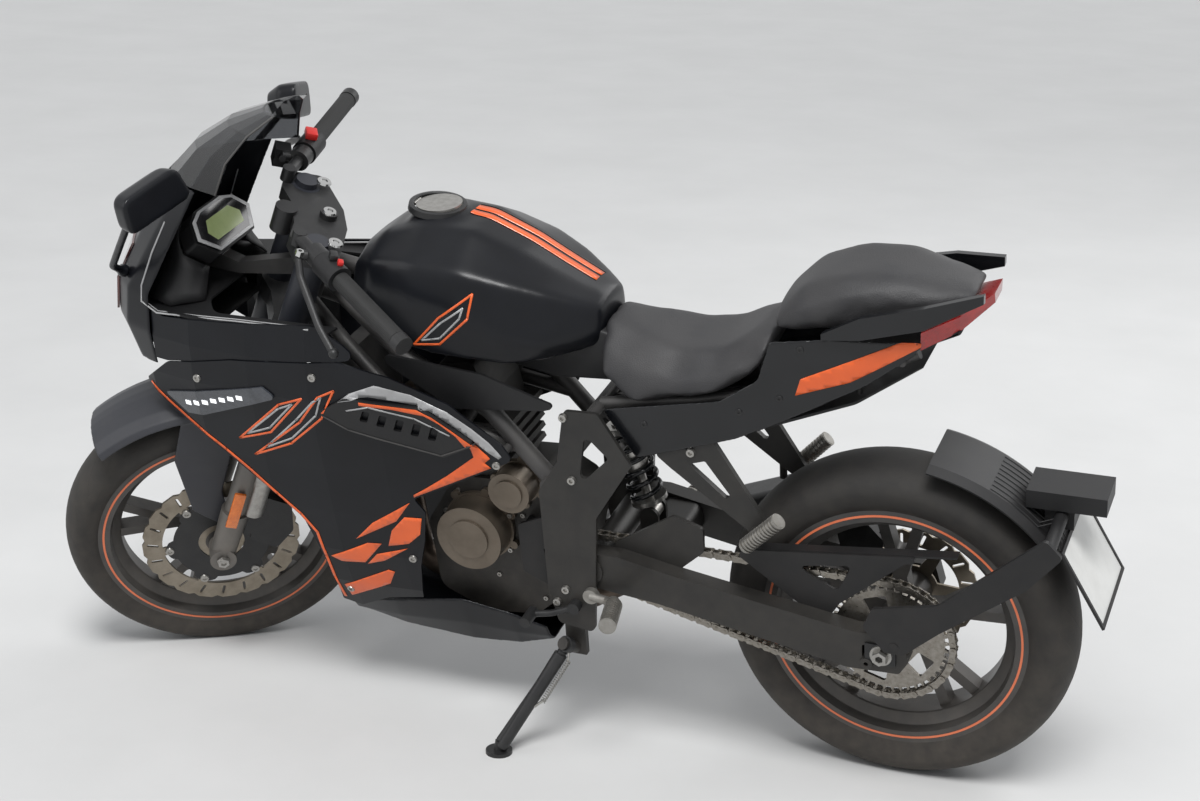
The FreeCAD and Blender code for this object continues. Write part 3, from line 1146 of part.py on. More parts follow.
cockpit = body_named("cockpit_panel")
cockpit_half = [(968, 191.4, 6), (1120, 191.4), (1240, 180.2), (1326, 159.6), (1392, 116, 20), (1424, 60, 30)]
opening = [(1243, 100, 40), (1206, 152, 40), (960, 152)]
pad(cockpit, "XY_Plane", [cockpit_half + [(x, -y) + tuple(r) for x, y, *r in reversed(cockpit_half)]
                          + [(960, -152), (1206, -152, 40), (1243, -100, 40)] + opening], 4, 806)
node(cockpit, "cockpit_panel", "bike")

dash_place = Placement(Vector(1262, 0, 915), Rotation(Vector(0, 1, 0), -50))
dash = body_named("dash_case")
pad(dash, "XY_Plane", [[(-44, -62, 6), (-44, 62, 6), (-4, 96, 8), (30, 72, 8), (44, 40, 6),
                        (44, -40, 6), (30, -72, 8), (-4, -96, 8)]], 34, -34)
pad(dash, "XY_Plane", [[(-38, -54, 4), (-38, 54, 4), (-3, 84, 6), (26, 64, 6), (36, 36, 4),
                        (36, -36, 4), (26, -64, 6), (-3, -84, 6)]], 4)
node(dash, "instrument", "bike", dash_place)

lens_half = [(1432, 96), (1449, 56), (1455, 22)]
LENS = ((772, ((1437, 106), (1457, 56), (1461, 20))), (834, ((1429, 102), (1451, 54), (1455, 24))),
        (900, ((1390, 96), (1415, 50), (1420, 30))))
lens = body_named("headlights")
for side in (1, -1):
    loft(lens, "XY_Plane", [
        (height, strip([(x + 4.3, side * y) for x, y in half], -4 if side > 0 else 4))
        for height, half in LENS])
node(lens, "headlights", "bike")


def mirror(side):
    """Mirror housing on a slim stalk."""
    foot = rod("mirror_foot", 13, (1395, side * 120.4, 855.3), (1405, side * 131.2, 862.8))
    stalk = pipe("mirror_stalk", [(1403, side * 129, 861), (1392, side * 166, 886, 12),
                                  (1258, side * 270, 1042)], 8)
    shell = body_named("mirror_shell")
    sections = []
    for depth, scale in ((0, 1.0), (34, 0.94), (62, 0.5)):
        sections.append((depth, [(-72 * scale, -34 * scale, 14 * scale),
                                 (74 * scale, -26 * scale, 14 * scale),
                                 (66 * scale, 40 * scale, 18 * scale),
                                 (-60 * scale, 34 * scale, 18 * scale)]))
    loft(shell, "YZ_Plane", sections)
    if side > 0:
        turn = Rotation(Vector(0, 0, 1), -18) * Rotation(Vector(1, 0, 0), -14)
    else:
        turn = Rotation(Vector(0, 0, 1), 18) * Rotation(Vector(1, 0, 0), 14)
    shell.Placement = Placement(Vector(1212, side * 256, 1060), turn)
    return fuse("mirror", [stalk, foot, shell])


node(together("mirror_pair", both_sides(mirror)), "mirrors", "bike")

# Side covers below the tank
cover_parts = []
COVER_LOW = 116 + size("frame_tube_radius") + GAP
for side in (1, -1):
    cover = body_named("side_cover")
    low = COVER_LOW if side > 0 else -COVER_LOW - 6
    slab(cover, [[(890, 762, 10), (700, 745, 40), (600, 712, 10), (560, 700, 6), (590, 690, 10),
                  (760, 672, 30), (880, 742, 10)]], low, 6)
    cover_parts.append(cover)
node(together("side_cover_pair", cover_parts), "side_covers", "bike")

# Side stand on its bracket
STAND_ROOT = Vector(size("stand_forward"), size("stand_side"), size("stand_height"))
foot_floor = LEAN.multVec(Vector(size("foot_forward"), size("foot_side"), 0))
foot_floor.z = 0
FOOT = FLOOR_TO_BIKE.multVec(foot_floor)
FLOOR_UP = FLOOR_TO_BIKE.Rotation.multVec(Vector(0, 0, 1))
leg_down = (FOOT - STAND_ROOT).normalize()
leg_back = Vector(-0.95, 0.28, 0.12).normalize()
STAND_AXIS = leg_down.cross(leg_back).normalize()
STAND_SWEEP = math.degrees(leg_down.getAngle(leg_back))
ankle = FOOT + FLOOR_UP * 18 - leg_down * 6
eye_half = 7.0
eye = rod("stand_eye", 15, tuple(STAND_ROOT - STAND_AXIS * eye_half),
          tuple(STAND_ROOT + STAND_AXIS * eye_half), size("stand_bolt_radius") + size("running_gap"))
leg = rod("stand_leg", 9, tuple(STAND_ROOT + leg_down * 14), tuple(ankle))
foot = rod("stand_foot", 24, tuple(FOOT), tuple(FOOT + FLOOR_UP * 7))
shoe = rod("stand_shoe", 10, tuple(FOOT + FLOOR_UP * 3), tuple(ankle))
node(fuse("side_stand_set", [eye, leg, foot, shoe]), "side_stand", "bike")
bolt = rod("stand_bolt", "dims.stand_bolt_radius", tuple(STAND_ROOT - STAND_AXIS * 20),
           tuple(STAND_ROOT + STAND_AXIS * 14))
LUG = eye_half + 0.6
lug_out = rod("stand_lug_out", 11, tuple(STAND_ROOT + STAND_AXIS * LUG),
              tuple(STAND_ROOT + STAND_AXIS * (LUG + 6)))
lug_in = rod("stand_lug_in", 11, tuple(STAND_ROOT - STAND_AXIS * LUG),
             tuple(STAND_ROOT - STAND_AXIS * (LUG + 20)))
bracket_low = block("stand_bracket_low", tuple(STAND_ROOT - Vector(29, 32, 29)),
                    (STAND_ROOT.x + 9, size("heel_plate_side") - 3, STAND_ROOT.z + 56))
bracket_high = block("stand_bracket_high",
                     (min(STAND_ROOT.x - 29, 540), size("heel_plate_side") - 4, STAND_ROOT.z + 34),
                     (max(STAND_ROOT.x + 9, 578), size("heel_plate_side") + 1, STAND_ROOT.z + 56))
left_plate = fuse("left_plate", [heel_parts[0], bolt, lug_out, lug_in, bracket_low, bracket_high])
node(together("heel_pair", [left_plate, heel_parts[1]]), "heel_plates", "bike")

# Lean the bike, then shift its origin to the middle of the footprint
doc.recompute()
for piece, place in nodes:
    if piece.TypeId in ("Part::Feature", "Part::Box", "Part::Cylinder"):
        piece.Placement = place * piece.Placement
    else:
        piece.Placement = place
doc.recompute()
boxes = [piece.Shape.optimalBoundingBox(False, False) for piece, place in nodes]
middle_x = (min(box.XMin for box in boxes) + max(box.XMax for box in boxes)) / 2
middle_y = (min(box.YMin for box in boxes) + max(box.YMax for box in boxes)) / 2
home = Placement(Vector(-middle_x, -middle_y, 0), Rotation())
for piece, place in nodes:
    piece.Placement = home * piece.Placement
doc.recompute()

for thing in doc.Objects:
    if "Invalid" in thing.State or "Error" in thing.State:
        raise RuntimeError(f"{thing.Name} ({thing.Label}) failed")
for piece, place in nodes:
    if piece.Shape.isNull() or not piece.Shape.isValid() or not piece.Shape.Solids:
        raise RuntimeError(piece.Label + " has no valid solid")
for piece, place in nodes:
    piece.Shape.exportStep(f"parts/{piece.Label}.step")
print(len(nodes), "sub-parts written")
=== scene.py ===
"""Looks of a small sport bike parked on its side stand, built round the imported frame."""

import json
import logging
import math
from dataclasses import dataclass, field
from enum import Enum

import bmesh
import bpy
from mathutils import Euler, Matrix, Vector
from mathutils.bvhtree import BVHTree

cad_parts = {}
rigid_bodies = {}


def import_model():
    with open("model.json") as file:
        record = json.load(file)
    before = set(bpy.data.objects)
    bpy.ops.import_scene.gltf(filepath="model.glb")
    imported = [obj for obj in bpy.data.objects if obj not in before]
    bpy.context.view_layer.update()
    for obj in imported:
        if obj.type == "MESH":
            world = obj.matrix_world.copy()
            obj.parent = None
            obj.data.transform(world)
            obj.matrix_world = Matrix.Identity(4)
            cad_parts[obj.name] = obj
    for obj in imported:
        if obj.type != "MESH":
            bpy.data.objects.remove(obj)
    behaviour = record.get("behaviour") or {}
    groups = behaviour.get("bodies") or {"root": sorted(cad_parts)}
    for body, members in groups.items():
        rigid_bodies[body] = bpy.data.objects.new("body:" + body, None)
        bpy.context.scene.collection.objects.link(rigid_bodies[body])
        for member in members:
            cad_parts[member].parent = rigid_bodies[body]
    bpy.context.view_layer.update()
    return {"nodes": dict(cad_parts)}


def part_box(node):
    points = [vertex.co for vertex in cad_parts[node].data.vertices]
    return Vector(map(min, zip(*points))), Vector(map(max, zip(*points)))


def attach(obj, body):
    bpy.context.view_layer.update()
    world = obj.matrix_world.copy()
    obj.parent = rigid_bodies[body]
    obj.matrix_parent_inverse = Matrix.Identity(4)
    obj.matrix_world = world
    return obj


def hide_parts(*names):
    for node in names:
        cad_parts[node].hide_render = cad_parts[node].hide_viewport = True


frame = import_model()
LOG = logging.getLogger("sport_bike")

# The bike leans on its stand: its own upright axes, in millimetres, go to the row frame
LEAN_DEGREES, DIVE_DEGREES = 10.0, 0.29859638
ROOT = (-0.629951317, -0.154495937, -0.000668077)
WHEELBASE, TRAIL, RAKE_DEGREES, LOCK_DEGREES = 1360.0, 94.0, 23.6, 34.6
FRONT_RADIUS, REAR_RADIUS = 291.0, 309.0
# How far the swingarm's and the front disc's outer faces stand from the middle
ARM_FACE, FRONT_DISC_FACE = 138.0, 64.0
# The fork: how far each leg is from the middle, and the height of the top clamp's face
FORK_SIDE, CLAMP_TOP = 96.0, 1043.5
# Where rays towards the bike's side start, and how near two points are one, in metres
OUTSIDE, ONE_POINT = 600.0, 1e-5


def wire(tree: bpy.types.NodeTree, kind: str, sockets: dict, **options: object) -> bpy.types.Node:
    """Adds a node, sets its options, and fills or links its inputs.

    Args:
        tree: the tree that receives it.
        kind: the node's type, without the word ShaderNode.
        sockets: for each input, by name or number, a value or the output that feeds it.
        options: the node's own settings.

    Returns:
        The new node.
    """
    node = tree.nodes.new("ShaderNode" + kind)
    for option, value in options.items():
        setattr(node, option, value)
    for socket, value in sockets.items():
        if isinstance(value, bpy.types.NodeSocket):
            tree.links.new(value, node.inputs[socket])
        else:
            node.inputs[socket].default_value = value
    return node


def sum_of(tree: bpy.types.NodeTree, kind: str, *terms: object) -> bpy.types.NodeSocket:
    """Adds a node of arithmetic on one or two terms and gives its result."""
    return wire(tree, "Math", dict(enumerate(terms)), operation=kind).outputs["Value"]


class Place(Enum):
    """Which upright axes a piece's millimetres are given in."""

    BIKE = "bike"
    FORK = "fork"
    FRONT_WHEEL = "front_wheel"

    def matrix(self) -> Matrix:
        """Carries these axes, in millimetres, to the row frame in metres.

        Returns:
            The matrix of the place.
        """
        home = (Matrix.Translation(ROOT)
                @ Matrix.Rotation(math.radians(DIVE_DEGREES), 4, "Y")
                @ Matrix.Rotation(math.radians(-LEAN_DEGREES), 4, "X") @ Matrix.Scale(0.001, 4))
        if self is Place.BIKE:
            return home
        fork = (home @ Matrix.Translation((WHEELBASE + TRAIL, 0, 0))
                @ Matrix.Rotation(math.radians(-RAKE_DEGREES), 4, "Y")
                @ Matrix.Rotation(math.radians(LOCK_DEGREES), 4, "Z"))
        if self is Place.FORK:
            return fork
        reach = math.hypot(TRAIL, FRONT_RADIUS)
        tilt = math.radians(RAKE_DEGREES) - math.atan2(TRAIL, FRONT_RADIUS)
        return (fork @ Matrix.Translation((reach * math.sin(tilt), 0, reach * math.cos(tilt)))
                @ Matrix.Rotation(math.radians(RAKE_DEGREES), 4, "Y"))


class Grain(Enum):
    """The small relief a finish carries."""

    NONE = "none"
    SAND = "sand"
    PEBBLE = "pebble"
    BRUSH = "brush"
    WEAVE = "weave"


@dataclass(frozen=True)
class Finish:
    """One procedural finish, read on Object coordinates.

    Its colour drifts between two tones, its roughness varies in patches, and its relief is
    given by the grain. Dust settles on low surfaces where there is any.
    """

    name: str
    tone: tuple[float, float, float]
    drift: tuple[float, float, float] | None = None
    rough: float = 0.4
    spread: float = 0.1
    metal: float = 0.0
    coat: float = 0.0
    grain: Grain = Grain.SAND
    grain_size: float = 0.0012
    relief: float = 0.15
    patch: float = 0.05
    dust: float = 0.0
    clear: float = 0.0
    glow: float = 0.0
    specular: float = 0.5
    coat_rough: float = 0.12
    bump_depth: float = 0.0006
    patch_detail: float = 6.0
    patch_rough: float = 0.62
    ramp: tuple[float, float] = (0.32, 0.70)
    dust_height: float = 0.62
    dust_tone: tuple[float, float, float] = (0.23, 0.19, 0.15)
    cloud_scale: float = 38.0
    cloud_detail: float = 8.0

    def material(self) -> bpy.types.Material:
        """Builds the node tree once and gives it again on later calls.

        Returns:
            The material of this finish.
        """
        known = bpy.data.materials.get(self.name)
        if known is not None and known.get("own"):
            return known
        surface = bpy.data.materials.new(self.name)
        surface["own"] = 1
        surface.use_nodes = True
        tree = surface.node_tree
        shader = tree.nodes["Principled BSDF"]
        for socket, value in (("Metallic", self.metal), ("Coat Weight", self.coat),
                              ("Specular IOR Level", self.specular),
                              ("Coat Roughness", self.coat_rough)):
            shader.inputs[socket].default_value = value
        if self.clear > 0:
            shader.inputs["Transmission Weight"].default_value = self.clear
        if self.glow > 0:
            shader.inputs["Emission Color"].default_value = (*self.tone, 1)
            shader.inputs["Emission Strength"].default_value = self.glow
        where = wire(tree, "TexCoord", {}).outputs["Object"]
        patches = wire(tree, "TexNoise", {
            "Scale": 1 / self.patch, "Detail": self.patch_detail, "Roughness": self.patch_rough,
            "Vector": where}).outputs["Fac"]
        colour = wire(tree, "ValToRGB", {"Fac": patches})
        for stop, place, tone in zip(colour.color_ramp.elements, self.ramp,
                                     (self.tone, self.drift or self.tone)):
            stop.position, stop.color = place, (*tone, 1)
        last = colour.outputs["Color"]
        if self.dust > 0:
            last = self.dusted(tree, where, last)
        tree.links.new(last, shader.inputs["Base Color"])
        gloss = wire(tree, "MapRange", {"Value": patches, "To Max": self.rough + self.spread,
                                        "To Min": max(self.rough - self.spread, 0.02)})
        tree.links.new(gloss.outputs["Result"], shader.inputs["Roughness"])
        if self.grain is not Grain.NONE:
            bump = wire(tree, "Bump", {"Strength": self.relief, "Distance": self.bump_depth,
                                       "Height": self.relief_of(tree, where)})
            tree.links.new(bump.outputs["Normal"], shader.inputs["Normal"])
        return surface

    def dusted(self, tree: bpy.types.NodeTree, where: bpy.types.NodeSocket,
               under: bpy.types.NodeSocket) -> bpy.types.NodeSocket:
        """Lays road dust over the low parts, thinner with height.

        Args:
            tree: the material's tree.
            where: its Object coordinates.
            under: the colour below the dust.

        Returns:
            The dusted colour.
        """
        up = wire(tree, "SeparateXYZ", {"Vector": where}).outputs["Z"]
        height = wire(tree, "MapRange", {"From Min": 0.0, "From Max": self.dust_height,
                                         "To Min": self.dust, "To Max": self.dust * 0.15,
                                         "Value": up})
        cloud = wire(tree, "TexNoise", {"Scale": self.cloud_scale,
                                        "Detail": self.cloud_detail, "Vector": where})
        amount = sum_of(tree, "MULTIPLY", height.outputs["Result"], cloud.outputs["Fac"])
        blend = wire(tree, "Mix", {"B": (*self.dust_tone, 1), "Factor": amount, "A": under},
                     data_type="RGBA")
        return blend.outputs["Result"]

    def relief_of(self, tree: bpy.types.NodeTree,
                  where: bpy.types.NodeSocket) -> bpy.types.NodeSocket:
        """Builds the height that the bump reads.

        Args:
            tree: the material's tree.
            where: its Object coordinates.

        Returns:
            The height of the grain.
        """
        if self.grain is Grain.PEBBLE:
            return wire(tree, "TexVoronoi", {"Scale": 1 / self.grain_size,
                                             "Vector": where}).outputs["Distance"]
        if self.grain is Grain.WEAVE:
            return wire(tree, "TexWave", {"Scale": 0.3 / self.grain_size, "Vector": where},
                        wave_type="BANDS", bands_direction="DIAGONAL").outputs["Fac"]
        if self.grain is Grain.BRUSH:
            where = wire(tree, "Mapping", {"Scale": (0.08, 1, 1),
                                           "Vector": where}).outputs["Vector"]
        return wire(tree, "TexNoise", {"Scale": 1 / self.grain_size, "Detail": 3,
                                       "Vector": where}).outputs["Fac"]


class Coat:
    """The finishes of this bike."""

    BODY = Finish("satin_body_black", (0.004, 0.0044, 0.006), (0.0062, 0.007, 0.0095), rough=0.32,
                  spread=0.05, coat=0.08, specular=0.24, grain_size=0.0009, relief=0.05,
                  patch=0.12)
    GLOSS = Finish("gloss_body_black", (0.0045, 0.005, 0.006), (0.007, 0.0075, 0.009), rough=0.22,
                   spread=0.05, coat=0.25, specular=0.35, relief=0.03, patch=0.1)
    TRIM = Finish("moulded_trim_plastic", (0.008, 0.0085, 0.0095), (0.013, 0.013, 0.014),
                  rough=0.5, specular=0.35, spread=0.08, grain=Grain.PEBBLE, grain_size=0.0011,
                  relief=0.25, patch=0.08, dust=0.1)
    # Painted reflection: the blue in this black stands in for the sky reflected on the mudguard and
    # fork tubes.
    GUARD = Finish("matt_blue_black", (0.013, 0.015, 0.021), (0.019, 0.021, 0.028), rough=0.48,
                   spread=0.06, coat=0.1, grain_size=0.0008, relief=0.08, patch=0.1, dust=0.12)
    # The frame's cast grey; laid as a line along the vent scoop it is a painted highlight.
    FRAME_AND_HIGHLIGHT = Finish("cast_frame_grey", (0.050, 0.049, 0.050), (0.070, 0.068, 0.066), rough=0.5,
                   metal=0.35, grain_size=0.0016, relief=0.35, dust=0.25)
    CLAMP = Finish("cast_black_alloy", (0.018, 0.018, 0.019), (0.028, 0.028, 0.028), rough=0.42,
                   metal=0.3, grain_size=0.0014, relief=0.4, patch=0.03)
    CASTING = Finish("grey_axle_casting", (0.13, 0.125, 0.12), (0.19, 0.18, 0.165), rough=0.5,
                     metal=0.6, grain_size=0.0015, relief=0.4, dust=0.45)
    CHROME = Finish("bright_chrome", (0.62, 0.62, 0.61), (0.55, 0.55, 0.55), rough=0.12,
                    spread=0.06, metal=1.0, grain=Grain.BRUSH, relief=0.03)
    STEEL = Finish("zinc_steel", (0.42, 0.41, 0.39), (0.30, 0.29, 0.27), rough=0.32, metal=0.9,
                   grain=Grain.BRUSH, grain_size=0.0007, relief=0.12, patch=0.01)
    DISC = Finish("worn_disc_steel", (0.30, 0.265, 0.215), (0.21, 0.18, 0.14), rough=0.34,
                  metal=0.85, grain=Grain.BRUSH, grain_size=0.0006, relief=0.2, patch=0.03,
                  dust=0.12)
    WHEEL = Finish("grey_cast_wheel", (0.050, 0.049, 0.049), (0.075, 0.072, 0.069), rough=0.42,
                   metal=0.4, grain_size=0.0014, relief=0.25, patch=0.06, dust=0.28)
    TYRE = Finish("tyre_rubber", (0.014, 0.014, 0.0145), (0.028, 0.027, 0.025), rough=0.72,
                  grain_size=0.0014, relief=0.35, patch=0.05, dust=0.25)
    GRIP = Finish("grip_rubber_ribbed", (0.012, 0.012, 0.012), (0.02, 0.02, 0.02), rough=0.68,
                  grain=Grain.WEAVE, grain_size=0.0011, relief=0.9)
    SEAT = Finish("seat_leather", (0.021, 0.021, 0.023), (0.034, 0.033, 0.034), rough=0.56,
                  spread=0.09, grain=Grain.PEBBLE, grain_size=0.0021, relief=0.55, patch=0.09)
    BRONZE = Finish("bronze_cover_paint", (0.115, 0.094, 0.072), (0.155, 0.128, 0.100), rough=0.36,
                    metal=0.6, grain_size=0.0015, relief=0.3, patch=0.05, dust=0.12)
    ENGINE = Finish("cast_engine_alloy", (0.022, 0.0215, 0.021), (0.042, 0.040, 0.037), rough=0.5,
                    metal=0.4, grain_size=0.0018, relief=0.5, patch=0.04, dust=0.2)
    EXHAUST = Finish("heat_stained_steel", (0.16, 0.13, 0.105), (0.085, 0.062, 0.05), rough=0.4,
                     metal=0.9, grain=Grain.BRUSH, relief=0.15, patch=0.06, dust=0.25)
    ARM = Finish("swingarm_grey_black", (0.018, 0.0178, 0.0175), (0.030, 0.029, 0.027), rough=0.45,
                 metal=0.3, grain_size=0.0015, relief=0.3, patch=0.05, dust=0.14)
    PEG = Finish("peg_light_alloy", (0.34, 0.33, 0.31), (0.24, 0.23, 0.21), rough=0.42, metal=0.8,
                 grain_size=0.001, relief=0.3, patch=0.02, dust=0.2)
    CHAIN = Finish("oiled_chain_steel", (0.22, 0.20, 0.17), (0.34, 0.32, 0.29), rough=0.3,
                   metal=0.9, grain_size=0.001, relief=0.3, patch=0.008, dust=0.08)
    RADIATOR = Finish("radiator_alloy", (0.10, 0.10, 0.10), (0.15, 0.145, 0.14), rough=0.5,
                      metal=0.7, grain=Grain.BRUSH, relief=0.4, dust=0.3)
    SMOKE = Finish("smoked_screen", (0.17, 0.175, 0.185), (0.13, 0.135, 0.145), rough=0.04,
                   spread=0.015, grain=Grain.NONE, clear=0.96, patch=0.3)
    LENS = Finish("dark_lamp_lens", (0.16, 0.05, 0.045), (0.06, 0.03, 0.03), rough=0.07,
                  spread=0.03, coat=0.8, grain=Grain.NONE, clear=0.25, patch=0.05)
    LED_STRIP = Finish("running_lamp_cover", (0.030, 0.033, 0.040), (0.055, 0.060, 0.072),
                       rough=0.12, coat=0.6, grain=Grain.WEAVE, grain_size=0.004,
                       relief=0.15, patch=0.02)
    GLASS = Finish("dark_dial_glass", (0.012, 0.012, 0.014), (0.02, 0.02, 0.022), rough=0.12,
                   coat=0.6, grain=Grain.NONE, patch=0.05)
    LED = Finish("lit_white_blocks", (0.92, 0.93, 0.95), (0.85, 0.87, 0.90), rough=0.2,
                 grain=Grain.NONE, patch=0.02, glow=0.6)
    RED_LENS = Finish("red_lamp_lens", (0.42, 0.012, 0.010), (0.26, 0.006, 0.006), rough=0.15,
                      coat=0.8, grain=Grain.WEAVE, grain_size=0.003, relief=0.35, patch=0.02)
    AMBER = Finish("amber_reflector", (0.80, 0.20, 0.02), (0.62, 0.13, 0.012), rough=0.2,
                   coat=0.7, grain=Grain.WEAVE, grain_size=0.0025, relief=0.4, patch=0.01)
    ORANGE = Finish("orange_accent", (0.83, 0.125, 0.015), (0.72, 0.10, 0.012), rough=0.34,
                    spread=0.05, coat=0.3, relief=0.04, patch=0.08, dust=0.06)
    SALMON = Finish("salmon_rim_line", (0.80, 0.20, 0.085), (0.68, 0.16, 0.065), rough=0.4,
                    spread=0.05, relief=0.04, patch=0.05, dust=0.12)
    # Silver for the real silver graphics and the dial's bezel, and for painted highlight lines on
    # the vent and round the cockpit.
    SILVER = Finish("silver_line", (0.44, 0.44, 0.44), (0.36, 0.36, 0.365), rough=0.35, metal=0.35,
                    spread=0.05, relief=0.04, patch=0.04)
    INK = Finish("black_line", (0.006, 0.006, 0.006), (0.009, 0.009, 0.009), rough=0.4,
                 relief=0.04, patch=0.05)
    WHITE = Finish("blank_plate_white", (0.72, 0.72, 0.70), (0.64, 0.64, 0.62), rough=0.4,
                   relief=0.05, patch=0.05, dust=0.12)
    LCD = Finish("lit_dial_face", (0.36, 0.44, 0.17), (0.30, 0.38, 0.14), rough=0.3, coat=0.5,
                 relief=0.03, patch=0.02, glow=0.15)
    RED = Finish("red_switch", (0.62, 0.02, 0.015), (0.50, 0.015, 0.012), rough=0.4,
                 relief=0.1, patch=0.01)


NODE_COATS: dict[str, Finish] = {
    "front_rim": Coat.WHEEL, "rear_rim": Coat.WHEEL, "front_disc": Coat.DISC,
    "rear_disc": Coat.DISC, "rear_sprocket": Coat.CHAIN, "fork_clamps": Coat.CLAMP,
    "fork_tubes": Coat.GUARD, "fork_sliders": Coat.CASTING, "handlebars": Coat.CLAMP,
    "grips": Coat.GRIP, "switch_boxes": Coat.TRIM, "levers": Coat.CLAMP,
    "mudguard": Coat.GUARD, "front_caliper": Coat.CLAMP, "frame": Coat.FRAME_AND_HIGHLIGHT,
    "subframe": Coat.FRAME_AND_HIGHLIGHT, "engine": Coat.ENGINE, "engine_covers": Coat.BRONZE,
    "clutch_cover": Coat.BRONZE, "sprocket_cover": Coat.TRIM, "radiator": Coat.RADIATOR,
    "exhaust_pipe": Coat.EXHAUST, "muffler": Coat.CLAMP, "swingarm": Coat.ARM,
    "chain_guard": Coat.TRIM, "shock_damper": Coat.STEEL, "shock_spring": Coat.GLOSS,
    "rear_caliper": Coat.CLAMP, "rider_pegs": Coat.PEG, "foot_levers": Coat.CLAMP,
    "passenger_pegs": Coat.ARM, "fuel_tank": Coat.BODY, "filler_cap": Coat.STEEL,
    "tail_panels": Coat.GLOSS, "tail_light": Coat.RED_LENS, "grab_rails": Coat.GLOSS,
    "under_tray": Coat.TRIM, "plate_hanger": Coat.TRIM, "number_plate": Coat.WHITE,
    "fairing_left": Coat.BODY, "fairing_right": Coat.BODY, "side_vents": Coat.TRIM,
    "running_lamps": Coat.LED_STRIP, "belly_pan": Coat.BODY, "nose_cowl": Coat.BODY,
    "upper_panels": Coat.BODY, "windscreen": Coat.SMOKE, "cockpit_panel": Coat.TRIM,
    "instrument": Coat.TRIM, "headlights": Coat.LENS, "mirrors": Coat.BODY,
    "side_covers": Coat.TRIM, "heel_plates": Coat.ARM, "side_stand": Coat.CLAMP,
}


